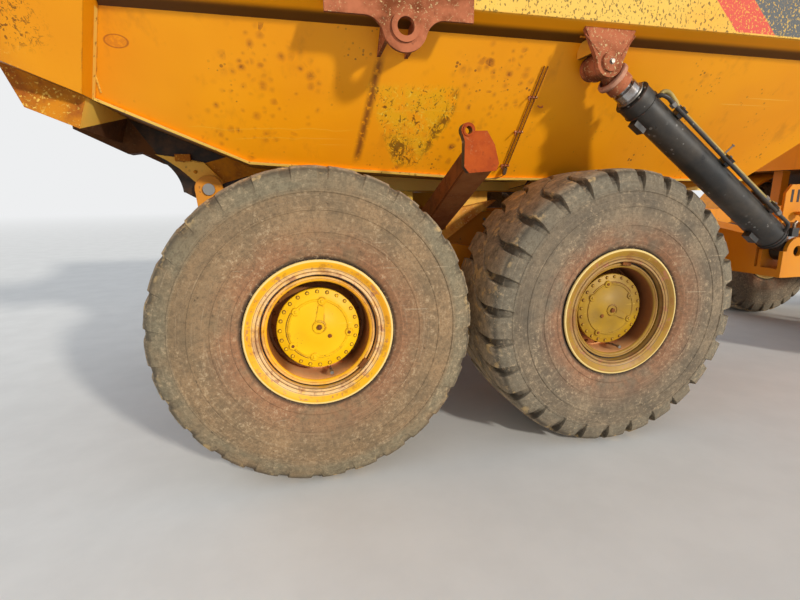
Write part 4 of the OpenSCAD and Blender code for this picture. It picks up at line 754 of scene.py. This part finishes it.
def wall_fittings():
    """A pair of thin lines clipped to the right wall, and a ring beside them."""
    piece = Piece("wall_cable", "tipper", "dark_rust", "rusty_steel", "bare_steel", s=-1)

    def on_wall(t, out, dx=0.0, dz=0.0):
        z = 2.47 - 0.59 * t
        return Vector((-2.426 - 0.04 * t + dx, wall_y(z) + out, z - out * 0.6 + dz))

    for shift in (-0.013, 0.012):
        piece.tube([on_wall(t, 0.008, shift) for t in np.linspace(0, 1, 24)], 0.0042, 0, 8)
    for t in (0.27, 0.6, 0.96):
        piece.tube([on_wall(t, 0.004, dx) for dx in (-0.034, 0.026)], 0.008, 1, 8)
        piece.tube([on_wall(t, 0.006, -0.034), on_wall(t, 0.03, -0.04, -0.01)], 0.005, 1, 8)
    piece.lathe([(0, 0.017), (0.04, 0.015), (0.05, 0.01)], on_wall(0.98, 0.012), (-0.1, -0.3, -1), 2, 16)
    piece.tube([on_wall(1.0, 0.012), on_wall(1.04, 0.03), on_wall(1.07, 0.04, -0.05),
                on_wall(1.1, 0.03, -0.14)], 0.0028, 0, 6, bend=6)
    piece.lathe([(0, 0.02), (0.003, 0.02), (0.003, 0.012), (0, 0.012)],
                (-2.364, wall_y(2.265) + 0.001, 2.265), (0, 0.8, 0.6), 1, 24, caps=False)
    piece.done()


def hinge_fittings():
    """Front plate, block, gusset and pin caps of the tub's tail hinge, on both sides."""
    piece = Piece("hinge_plates", "tipper", "bolster_yellow", "tail_rust", "bare_steel", "dark_rust")
    sickle = [(-4.88, 1.975), (-4.748, 1.958), (-4.57, 1.921), (-4.441, 1.785), (-4.561, 1.708),
              (-4.61, 1.764), (-4.658, 1.812), (-4.73, 1.88), (-4.81, 1.936)]
    gusset = [(-4.563, 1.921), (-4.365, 1.978), (-4.067, 1.898), (-4.441, 1.785)]
    for piece.s in (-1, 1):
        piece.prism(sickle, (0.591, 0.607), 0)
        piece.prism(gusset, (0.592, 0.6), 1)
        piece.block((-4.748, -4.65), (0.607, 0.65), (1.93, 1.975), 1)
        for x, z, radius in ((-4.5455, 1.74, 0.052), (-4.52, 1.764, 0.03)):
            piece.lathe([(0, radius * 0.4), (0.01, radius * 0.4), (0.011, radius * 0.9), (0.024, radius),
                         (0.028, radius * 0.86)], (x, 0.597, z), OUT, 2, 32)
            piece.bolt((x, 0.624, z), OUT, radius * 0.28, 3)
        for x, z in ((-4.7, 1.935), (-4.63, 1.86), (-4.49, 1.8)):
            piece.bolt((x, 0.607, z), OUT, 0.011, 1)
        piece.weld([(x, 0.609, z) for x, z in ((-4.748, 1.952), (-4.57, 1.921), (-4.441, 1.785))], 0.005, 0)
    piece.done(bevel=0.002)


def hoist_fittings(side):
    """Pipes, clamp, end pieces and collars of one hoist cylinder, and the pin its eye hangs from."""
    foot, run, lift = Vector(HOIST_FOOT), Vector(HOIST_RUN), Vector(HOIST_LIFT)

    def at(along, up=0.0, out=0.0):
        return foot + run * along + lift * up + Vector((0, out, 0))

    piece = Piece("hoist_pipes_" + side, "hoist_barrel_%s_body" % side, "cylinder_black", "pale_pipe",
                  "bare_steel", "rusty_steel", s=SIDES[side])
    inner = [(1.595, .112, .018), (1.592, .15, .022), (1.56, .162, .036), (1.5, .14, .054),
             (1.42, .12, .062), (0.9, .116, .062), (0.47, .118, .062), (0.4, .138, .05),
             (0.345, .146, .028), (0.335, .112, .02)]
    outer = [(1.65, .05, .07), (1.648, .062, .112), (1.6, .074, .126), (1.5, .078, .116),
             (0.9, .074, .112), (0.33, .074, .112), (0.25, .07, .116), (0.215, .04, .1),
             (0.212, .02, .06)]
    # The inner pipe takes the pale paint, a painted highlight along it
    for path, radius, kind in ((inner, 0.0145, 1), (outer, 0.0125, 0)):
        piece.tube([at(*point) for point in path], radius, kind, 12, bend=6)
    clamp = (((0.08, 0.03), (0.14, 0.06)), ((0.052, 0.098), (0.096, 0.132)))
    for along in (0.42, 0.95, 1.45):
        corners = [((-0.02, low), (0.02, low), (0.02, top), (-0.02, top)) for low, top in clamp]
        piece.loft([[at(along + dx, *place) for dx, place in ring] for ring in corners], 0)
        piece.bolt(at(along, 0.118, 0.094), lift + Vector((0, 0.6, 0)), 0.011, 2)
    piece.lathe([(0, 0.006), (0.055, 0.006), (0.056, 0.01), (0.062, 0.01)], at(0.99, 0.125, 0.08),
                lift + Vector((0, 0.4, 0)), 2, 10)
    for along, up, out in ((1.44, 0.119, 0.062), (0.46, 0.119, 0.062), (1.52, 0.076, 0.114),
                           (0.36, 0.076, 0.114)):
        piece.lathe([(0, 0.017), (0.004, 0.021), (0.03, 0.021), (0.034, 0.017)], at(along, up, out), run,
                    2, 6)
    for along, radius in ((0.172, 0.1), (0.196, 0.1005), (1.655, 0.108), (1.741, 0.108)):
        piece.lathe([(-0.003, radius - 0.004), (-0.002, radius + 0.003), (0.004, radius + 0.003),
                     (0.005, radius - 0.004)], at(along), run, 0, 48, caps=False)
    piece.lathe([(0, 0.078), (0.012, 0.088), (0.02, 0.088), (0.022, 0.074)], at(1.747), run, 2, 48)
    for i in range(8):
        angle = i * math.pi / 4 + 0.3
        piece.bolt(at(1.7475, 0.094 * math.cos(angle), 0.094 * math.sin(angle)), run, 0.007, 2, False)
    # Greased block and a fitting at the foot, lit from the side
    piece.block((-0.56, -0.5), (1.628, 1.664), (1.395, 1.455), 0)
    piece.tube([(-0.53, 1.646, 1.455), (-0.53, 1.646, 1.482), (-0.512, 1.646, 1.5)], 0.011, 2, 10)
    piece.done(bevel=0.0015)

    pin = Piece("hoist_pin_" + side, "tipper", "rusty_steel", "bolster_yellow", "bare_steel", s=SIDES[side])
    top = (-2.1375, 0, 2.452)
    pin.lathe([(1.44, 0.0365), (1.652, 0.0365), (1.653, 0.056), (1.668, 0.056), (1.672, 0.049),
               (1.67, 0.02)], top, OUT, 0, 40)
    pin.lathe([(1.452, 0.066), (1.456, 0.072), (1.494, 0.072), (1.498, 0.066)], top, OUT, 0, 40)
    pin.bolt((-2.1375, 1.669, 2.452), OUT, 0.015, 2)
    for x in (-2.235, -2.065):
        pin.prism([(x - 0.012, 2.59), (x + 0.012, 2.59), (x + 0.012, 2.5), (x - 0.012, 2.5)],
                  (1.475, 1.62), 1)
    pin.weld([(-2.315, 1.652, 2.588), (-2.205, 1.652, 2.49)], 0.006, 0)
    pin.weld([(-1.985, 1.652, 2.6), (-2.068, 1.652, 2.49)], 0.006, 0)
    pin.done(bevel=0.0015)

    collar = Piece("hoist_collar_" + side, "hoist_rod_%s_body" % side, "rusty_steel", "bare_steel",
                   "pink_rust", s=SIDES[side])
    collar.lathe([(1.906, 0.078), (1.908, 0.092), (1.914, 0.099), (1.926, 0.101), (1.936, 0.098),
                  (1.942, 0.09), (1.943, 0.078)], foot, run, 2, 48, caps=False)
    for i in range(6):
        angle = i * math.pi / 3
        collar.bolt(at(1.846, 0.068 * math.cos(angle), 0.068 * math.sin(angle)), -run, 0.008, 1, False)
    for out in (-0.052, 0.046):
        collar.lathe([(0, 0.079), (0.002, 0.084), (0.008, 0.084), (0.0095, 0.079)], at(2.0373, 0, out), OUT,
                     0, 40)
    collar.done()


def arm_fittings():
    """Weld beads and lug washers of the strap anchors."""
    piece = Piece("anchor_details", "chassis", "dark_rust", "orange_rust")
    for piece.s in (-1, 1):
        piece.weld([(-3.001, 1.598, 1.85), (-2.831, 1.598, 1.85)], 0.007, 0)
        for x in (-3.003, -2.829):
            piece.weld([(x, 0.66, 1.42), (x, 1.58, 1.85)], 0.006, 0)
        piece.lathe([(0, 0.034), (0.006, 0.033), (0.007, 0.022), (0.001, 0.021)], (-3.0105, 1.645, 2.05),
                    OUT, 1, 28, caps=False)
    piece.done(bevel=0.0015)


def frame_fittings():
    """Gussets, body rests, slotted brackets, hoses and lamps on the rear frame."""
    piece = Piece("frame_brackets", "chassis", "tail_rust", "frame_yellow", "joint_black", "bare_steel",
                  "red_glass", "pale_strip", "gusset_rust")
    for piece.s in (-1, 1):
        # The gusset takes the pale sunlit rust, a painted light
        piece.prism([(-2.95, 1.545), (-2.38, 1.655), (-2.81, 1.34)], (0.602, 0.69), 6)
        piece.tube([(-2.81, 0.688, 1.45), (-2.82, 0.715, 1.44), (-2.82, 0.73, 1.46), (-2.81, 0.722, 1.49)],
                   0.01, 1, 8, bend=5)
        for x in (-3.25, -2.62, -1.2):
            piece.block((x - 0.2, x + 0.2), (0.47, 0.598), (1.562, 1.7265), 5)
            for dx in (-0.16, 0.16):
                piece.bolt((x + dx, 0.599, 1.6), OUT, 0.013, 3)
        piece.block((0.36, 0.54), (0.59, 0.88), (1.47, 1.54), 1)
        piece.prism([(0.3, 1.44), (0.6, 1.44), (0.6, 1.7), (0.54, 1.775), (0.36, 1.775), (0.3, 1.7)],
                    (0.88, 0.905), 1)
        for x in (0.375, 0.445, 0.515):
            piece.block((x - 0.014, x + 0.014), (0.9045, 0.9065), (1.62, 1.73), 2)
        piece.lathe([(0, 0.016), (0.05, 0.016), (0.052, 0.034), (0.085, 0.034), (0.092, 0.024)],
                    (0.45, 0.905, 1.52), OUT, 1, 24)
        piece.tube([(-0.2, 0.62, 1.36), (0.0, 0.66, 1.42), (0.2, 0.64, 1.38), (0.5, 0.62, 1.4),
                    (0.7, 0.6, 1.34)], 0.014, 2, 10, bend=6)
        piece.tube([(-0.2, 0.62, 1.3), (0.05, 0.67, 1.33), (0.3, 0.64, 1.31), (0.7, 0.6, 1.26)], 0.012,
                   2, 10, bend=6)
        piece.block((-4.652, -4.64), (0.47, 0.585), (1.2, 1.34), 2)
        piece.lathe([(0, 0.05), (0.01, 0.048), (0.014, 0.036), (0.015, 0.0)], (-4.651, 0.528, 1.27),
                    (-1, 0, 0), 4, 28)
        for i in range(9):
            piece.bolt((-3.7 + i * 0.42, 0.601, 1.5), OUT, 0.011, 3)
    piece.done(bevel=0.0015)


def plumped(name, body, box, lift, cut, lines, tilt=0.0, pivot=(0, 0, 0)):
    """A sewn cushion, blown up as cloth and drawn in at its seams: (axis, place, depth, width)."""
    middle = [(low + high) / 2 for low, high in box]
    size = [high - low - 2 * inset for (low, high), inset in zip(box, (cut, cut, lift))]
    mesh = bpy.data.meshes.new(name)
    shape = bmesh.new()
    bmesh.ops.create_cube(shape, size=1.0)
    for vert in shape.verts:
        vert.co = [centre + place * span for centre, place, span in zip(middle, vert.co, size)]
    bmesh.ops.bevel(shape, geom=shape.edges[:], offset=0.022, segments=3, profile=0.6, affect="EDGES")
    shape.to_mesh(mesh)
    shape.free()
    made = placed(name, mesh)
    bpy.context.view_layer.objects.active = made
    remesh = made.modifiers.new("remesh", "REMESH")
    remesh.mode, remesh.voxel_size = "VOXEL", 0.015
    bpy.ops.object.modifier_apply(modifier="remesh")
    cloth = made.modifiers.new("cloth", "CLOTH")
    cloth.settings.use_pressure, cloth.settings.uniform_pressure_force = True, 4.0
    cloth.settings.effector_weights.gravity, cloth.settings.quality = 0.0, 4
    start = [vert.co.copy() for vert in made.data.vertices]
    for frame_number in range(1, 11):
        bpy.context.scene.frame_set(frame_number)
    blown = made.evaluated_get(bpy.context.evaluated_depsgraph_get())
    places = [vert.co.copy() for vert in blown.data.vertices]
    made.modifiers.remove(cloth)
    bpy.context.scene.frame_set(1)
    for vert, old, new in zip(made.data.vertices, start, places):
        step = new - old
        vert.co = old + step * min(1.0, lift / max(step.length, 1e-9))
    finer = made.modifiers.new("finer", "SUBSURF")
    finer.levels = finer.render_levels = 1
    bpy.ops.object.modifier_apply(modifier="finer")
    back = Matrix.Translation([-value for value in pivot])
    turn = Matrix.Translation(pivot) @ Matrix.Rotation(tilt, 4, "Y") @ back
    for vert in made.data.vertices:
        point = vert.co
        drawn = sum(depth * math.exp(-((point[axis] - place) / width) ** 2) for axis, place, depth,
                    width in lines)
        vert.co = turn @ (point - vert.normal * drawn)
    made.data.materials.append(material("seat_fabric"))
    made.data.shade_smooth()
    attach(made, body)
    return made


def seat():
    """Sprung driver's seat: cushion, back and headrest as sewn pads over a bellows pedestal."""
    pads = [
        plumped("seat_cushion", "tractor", ((2.005, 2.544), (-0.26, 0.26), (2.28, 2.42)), 0.022, 0.014,
                [(0, 2.2, 0.007, 0.012), (0, 2.37, 0.007, 0.012), (1, -0.165, 0.009, 0.01),
                 (1, 0.165, 0.009, 0.01),
                 (2, 2.345, 0.006, 0.007)]),
        plumped("seat_back", "tractor", ((1.973, 2.08), (-0.25, 0.25), (2.425, 2.965)), 0.018, 0.012,
                [(2, 2.55, 0.006, 0.012), (2, 2.7, 0.006, 0.012), (2, 2.85, 0.006, 0.012),
                 (1, -0.165, 0.008, 0.01),
                 (1, 0.165, 0.008, 0.01), (0, 2.03, 0.006, 0.007)], -0.194, (2.03, 0, 2.41)),
        plumped("seat_headrest", "tractor", ((1.878, 1.955), (-0.13, 0.13), (2.945, 3.118)), 0.014, 0.01,
                [(0, 1.915, 0.006, 0.007), (2, 3.03, 0.005, 0.01)]),
    ]
    base = Piece("seat_base", "tractor", "black_plastic", "hose_rubber", "bare_steel", "seat_fabric")
    base.block((2.125, 2.42), (-0.18, 0.18), (2.0205, 2.06), 0)
    folds = []
    for i in range(7):
        z = 2.06 + i * 0.0235
        folds += [(z, 0.128 - 0.004 * i), (z + 0.011, 0.158 - 0.004 * i)]
    base.lathe([(z - 2.0, r) for z, r in folds + [(2.224, 0.1)]], (2.27, 0, 2.0), UP, 1, 40)
    base.block((2.065, 2.48), (-0.215, 0.215), (2.222, 2.29), 0)
    for base.s in (-1, 1):
        base.tube([(2.46, 0.232, 2.235), (2.2, 0.236, 2.235), (2.03, 0.236, 2.3), (1.99, 0.225, 2.45)],
                  0.011, 2, 10, bend=6)
        base.lathe([(0, 0.045), (0.012, 0.045), (0.018, 0.036)], (2.045, 0.226, 2.35), OUT, 0, 24)
        base.block((2.09, 2.36), (0.246, 0.258), (2.425, 2.437), 0)
        base.tube([(1.935, 0.055, 2.85), (1.918, 0.055, 2.98)], 0.007, 2, 8)
    base.tube([(2.49, -0.12, 2.245), (2.54, -0.12, 2.25), (2.54, 0.12, 2.25), (2.49, 0.12, 2.245)], 0.008,
              2, 8)
    pads.append(base.done(bevel=0.002))
    for pad in pads:
        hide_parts("seat")


def rounded_loop(x, z, y, radius, count=6):
    """A closed loop with round corners in a plane of constant Y."""
    loop = []
    for cx, cz, start in ((x[1] - radius, z[1] - radius, 0), (x[0] + radius, z[1] - radius, 1),
                          (x[0] + radius, z[0] + radius, 2), (x[1] - radius, z[0] + radius, 3)):
        for i in range(count + 1):
            angle = (start + i / count) * math.pi / 2
            loop.append((cx + radius * math.cos(angle), y, cz + radius * math.sin(angle)))
    return loop + loop[:2]


def tractor_fittings():
    """Lamps, mirrors, the door's handle and seal, wipers, tank straps and caps, clamps and catches."""
    lamps = Piece("lamp_lenses", "tractor", "lamp_glass", "bare_steel", "black_plastic", "amber_glass")
    for y in (-1.17, -0.98, 0.98, 1.17):
        lamps.lathe([(0, 0.063), (0.002, 0.068), (0.01, 0.068), (0.012, 0.06)], (5.4902, y, 1.34), AHEAD,
                    1, 40, caps=False)
        lamps.lathe([(0.0, 0.06), (0.006, 0.056), (0.011, 0.042), (0.014, 0.022), (0.015, 0.0)],
                    (5.491, y, 1.34), AHEAD, 0, 40)
    for lamps.s in (-1, 1):
        for y in (0.34, 0.62):
            lamps.block((3.372, 3.392), (y - 0.06, y + 0.06), (3.6, 3.618), 2)
            lamps.block((3.352, 3.44), (y - 0.055, y + 0.055), (3.618, 3.706), 2)
            lamps.block((3.44, 3.446), (y - 0.046, y + 0.046), (3.627, 3.697), 0)
        lamps.block((5.462, 5.472), (0.6, 0.72), (1.285, 1.335), 3)
    lamps.done(bevel=0.003)

    mirrors = Piece("mirror_faces", "tractor", "mirror_face", "black_plastic")
    for mirrors.s in (-1, 1):
        for z in ((2.7, 3.005), (2.577, 2.69)):
            mirrors.block((3.1905, 3.1945), (1.285, 1.475), z, 0)
        mirrors.block((3.196, 3.262), (1.278, 1.482), (3.012, 3.024), 1)
    mirrors.done(bevel=0.0015)

    door = Piece("door_fittings", "door", "black_plastic", "bare_steel", "hose_rubber")
    door.block((2.075, 2.215), (0.85, 0.8535), (2.33, 2.43), 0)
    door.tube([(2.09, 0.852, 2.4), (2.1, 0.876, 2.4), (2.18, 0.878, 2.4), (2.2, 0.854, 2.4)], 0.008,
              1, 10, bend=5)
    door.lathe([(0, 0.014), (0.006, 0.014), (0.007, 0.009)], (2.14, 0.853, 2.355), OUT, 1, 20)
    door.tube(rounded_loop((2.103, 2.986), (2.478, 3.457), 0.8505, 0.06), 0.008, 2, 8)
    for z in (2.3, 2.86, 3.4):
        door.lathe([(-0.045, 0.013), (0.045, 0.013)], (3.07, 0.862, z), UP, 1, 16)
        door.block((2.985, 3.066), (0.8495, 0.86), (z - 0.034, z + 0.034), 0)
        for x in (3.005, 3.035):
            door.bolt((x, 0.86, z), OUT, 0.007, 1, False)
    door.done(bevel=0.0015)

    fit = Piece("tractor_fittings", "tractor", "black_plastic", "bare_steel", "rusty_steel", "hose_rubber",
                "cab_yellow")
    for y in (-0.42, 0.3):
        fit.lathe([(0, 0.02), (0.018, 0.018), (0.022, 0.008)], (3.386, y, 2.475), AHEAD, 0, 20)
        fit.tube([(3.398, y, 2.475), (3.4, y + 0.02, 2.52), (3.385, y + 0.1, 3.02)], 0.006, 0, 8)
        fit.tube([(3.372, y + 0.02, 2.66), (3.38, y + 0.1, 2.96), (3.366, y + 0.16, 3.24)], 0.008, 3, 6)
    # Tank straps with their bolts, and the filler caps
    for fit.s in (-1, 1):
        for x in (4.02, 4.26, 4.5):
            fit.block((x - 0.022, x + 0.022), (1.004, 1.011), (1.2, 1.48), 1)
            for z in (1.23, 1.45):
                fit.bolt((x, 1.011, z), OUT, 0.01, 1)
        fit.lathe([(0, 0.044), (0.022, 0.044), (0.024, 0.06), (0.052, 0.06), (0.057, 0.054)],
                  (4.56, 0.92, 1.553), UP, 0, 32)
    # Clamps and a seam up the exhaust
    for z in (2.13, 2.36, 2.72, 3.08):
        fit.lathe([(-0.014, 0.1), (-0.012, 0.1065), (0.012, 0.1065), (0.014, 0.1)], (3.595, -0.94, z),
                  UP, 1, 48, caps=False)
        fit.bolt((3.607, -1.047, z), AHEAD, 0.008, 1)
    fit.weld([(3.595, -1.0455, 2.15), (3.595, -1.0455, 3.05)], 0.003, 2)
    # Antenna on the roof
    fit.lathe([(0, 0.02), (0.012, 0.018), (0.014, 0.006)], (1.75, -0.62, 3.742), UP, 0, 20)
    fit.tube([(1.75, -0.62, 3.75), (1.748, -0.62, 3.79)], 0.003, 0, 6)
    fit.done(bevel=0.001)

    hood = Piece("hood_fittings", "bonnet", "black_plastic", "bare_steel", "hose_rubber")
    for hood.s in (-1, 1):
        for x in (3.75, 4.95):
            hood.block((x - 0.035, x + 0.035), (0.7595, 0.772), (1.58, 1.68), 0)
            hood.tube([(x, 0.774, 1.6), (x, 0.784, 1.63), (x, 0.774, 1.66)], 0.007, 1, 8)
    hood.done(bevel=0.002)


def weld_beads():
    """Beads along the tub's tail posts, its ledge and its upper wall."""
    piece = Piece("tub_welds", "tipper", "bolster_yellow", "tail_rust")
    for piece.s in (-1, 1):
        for x in (-4.9685, -5.0655):
            piece.weld([(x, wall_y(z) + 0.002, z) for z in (2.24, 2.4, 2.57)], 0.006, 0)
        piece.weld([(x, LEDGE_HALF + 0.1, LEDGE_Z + 0.001) for x in (-2.32, -1.98)], 0.007, 1)
        piece.weld([(x, 1.7035, 2.7) for x in (-3.8, -3.03)], 0.007, 1)
    piece.done()


def stage():
    """Pale floor that fades into a pale backdrop, and the sky's light."""
    bpy.ops.mesh.primitive_circle_add(vertices=96, radius=120, fill_type="NGON", location=(0, 0, 0))
    floor = bpy.context.object
    floor.name = "floor"
    coat = Finish("floor", Roughness=0.85)
    coat.colour = coat.blend(coat.patches(2.5, 6, 0.3, 0.7), srgb(226, 225, 222), srgb(232, 231, 228))
    coat.done()
    reach = coat.node("ShaderNodeVectorMath", {0: coat.place}, "Value", operation="LENGTH")
    glow = coat.node("ShaderNodeEmission", {"Color": SKY, "Strength": 1.0})
    shaded = Amount(coat, coat.shader.outputs[0])
    faded = coat.node("ShaderNodeMixShader", {0: reach.ramp(14.0, 60.0), 1: shaded, 2: glow})
    coat.tree.links.new(faded.socket, coat.tree.nodes["Material Output"].inputs["Surface"])
    floor.data.materials.append(coat.material)

    world = bpy.context.scene.world or bpy.data.worlds.new("world")
    bpy.context.scene.world = world
    world.use_nodes = True
    tree = world.node_tree
    tree.nodes.clear()
    # The camera and mirrors see the pale backdrop, and everything else is lit by a dimmer, bluer one
    path = tree.nodes.new("ShaderNodeLightPath")
    seen, lit = (tree.nodes.new("ShaderNodeBackground") for _ in range(2))
    for background, colour, strength in ((seen, SKY, 1.0), (lit, srgb(236, 242, 250), 0.55)):
        background.inputs["Color"].default_value = colour
        background.inputs["Strength"].default_value = strength
    either = tree.nodes.new("ShaderNodeMath")
    either.operation = "MAXIMUM"
    tree.links.new(path.outputs["Is Camera Ray"], either.inputs[0])
    tree.links.new(path.outputs["Is Glossy Ray"], either.inputs[1])
    mix = tree.nodes.new("ShaderNodeMixShader")
    tree.links.new(either.outputs[0], mix.inputs[0])
    tree.links.new(lit.outputs[0], mix.inputs[1])
    tree.links.new(seen.outputs[0], mix.inputs[2])
    output = tree.nodes.new("ShaderNodeOutputWorld")
    tree.links.new(mix.outputs[0], output.inputs["Surface"])


def sun(name, direction, strength, spread, tint):
    light = bpy.data.lights.new(name, "SUN")
    light.energy, light.angle, light.color = strength, math.radians(spread), tint
    lamp = placed(name, light)
    lamp.rotation_mode = "QUATERNION"
    lamp.rotation_quaternion = Vector(direction).to_track_quat("-Z", "Y")


def camera():
    """Where the photograph was taken from: low beside the rear wheels, with a wide lens."""
    yaw, pitch, roll = (math.radians(angle) for angle in (13.69, 12.3, -0.26))
    ahead = Vector((math.sin(yaw) * math.cos(pitch), math.cos(yaw) * math.cos(pitch), -math.sin(pitch)))
    level = Vector((math.cos(yaw), -math.sin(yaw), 0))
    over = level.cross(ahead)
    right = level * math.cos(roll) + over * math.sin(roll)
    up = over * math.cos(roll) - level * math.sin(roll)
    data = bpy.data.cameras.new("camera")
    data.sensor_width, data.lens, data.clip_start = 36.0, 21.45, 0.05
    made = placed("camera", data)
    turn = Matrix((right, up, -ahead)).transposed().to_4x4()
    made.matrix_world = Matrix.Translation((-4.0595, -4.302, 1.688)) @ turn
    bpy.context.scene.camera = made


# Faces that face down, and the tail but for its outer sides and its forward faces near them, take under_brown, a
# painted shade; the tail's outer sides take rust, those forward faces yellow
def bolster_kind(middle, normal):
    if middle.x < -4.9 and abs(middle.y) > 1.15 and abs(normal.y) > 0.5:
        return 2
    if normal.z < -0.6:
        return 1
    if middle.x < -4.9:
        return 3 if normal.x > 0.3 and abs(middle.y) > 0.95 else 1
    return 0


def arm_kind(middle, normal):
    if abs(middle.y) > 1.597 or (abs(middle.y) > 1.56 and abs(normal.y) < 0.5 and middle.z > 1.8):
        return 3 if normal.x < -0.6 else 1
    return 2 if normal.z < -0.5 or abs(middle.y) < 0.66 else 0


# How far up a hoist its rod's bright part ends, from the foot
ROD_WORN_FROM = 1.84


def rod_kind(middle, normal):
    return 1 if (middle - Vector(HOIST_FOOT)).dot(Vector(HOIST_RUN)) > ROD_WORN_FROM else 0


def paint_faces(name, finishes, kind):
    """Several finishes on one CAD node, picked by where a face lies and the way it faces."""
    mesh = nodes[name].data
    mesh.materials.clear()
    for finish in finishes:
        mesh.materials.append(material(finish))
    for face in mesh.polygons:
        face.material_index = kind(face.center, face.normal)


def dress_nodes():
    """Gives every CAD node its finish, by its slot in the record."""
    special = {"cab_shell": "cab_yellow", "hood": "cab_yellow", "cab_door": "cab_yellow",
               "mudguards": "cab_yellow", "exhaust_stack": "dark_rust"}
    for subpart in frame["record"]["subparts"]:
        name = subpart["node"]
        made = nodes[name]
        made.data.materials.clear()
        made.data.materials.append(material(special.get(name, subpart["material_slot"])))
        made.data.shade_smooth()
        made.data.set_sharp_from_angle(angle=math.radians(28))
    paint_faces("body_bolsters", ("bolster_paint", "under_brown", "tail_rust", "bolster_yellow"),
                bolster_kind)
    paint_faces("anchor_arms", ("dark_rust", "orange_rust", "lit_rust", "black_paint"), arm_kind)
    paint_faces("head_lamps", ("black_plastic",), lambda middle, normal: 0)
    for side in SIDES:
        paint_faces("hoist_rod_" + side, ("rod_chrome", "rusty_steel"), rod_kind)
    tub = nodes["dump_body"].data
    tub.materials.append(material("load_steel"))
    for face in tub.polygons:
        middle = face.center
        inner = min(wall_y(middle.z), RAIL_HALF) - 0.012
        inside = abs(middle.y) < inner and middle.z > FLOOR_Z + 0.012 and face.normal.z > -0.3
        facing_in = face.normal.y * middle.y < -0.02 or face.normal.z > 0.35 or face.normal.x < -0.35
        if inside and facing_in and middle.x < 0.69:
            face.material_index = 1


camera()
seat()
dress_nodes()
for axle in AXLES:
    for side in SIDES:
        tyre(axle, side)
        rim(axle, side)
for side in SIDES:
    hoist_fittings(side)
wall_fittings()
hinge_fittings()
arm_fittings()
frame_fittings()
weld_beads()
tractor_fittings()
stage()
sun("key", (-0.46, 0.83, -0.31), 2.4, 4.0, (1.0, 0.95, 0.86))
sun("fill", (0.5, -0.7, -0.6), 0.6, 60.0, (0.9, 0.95, 1.0))
bpy.context.scene.view_settings.view_transform = "Standard"
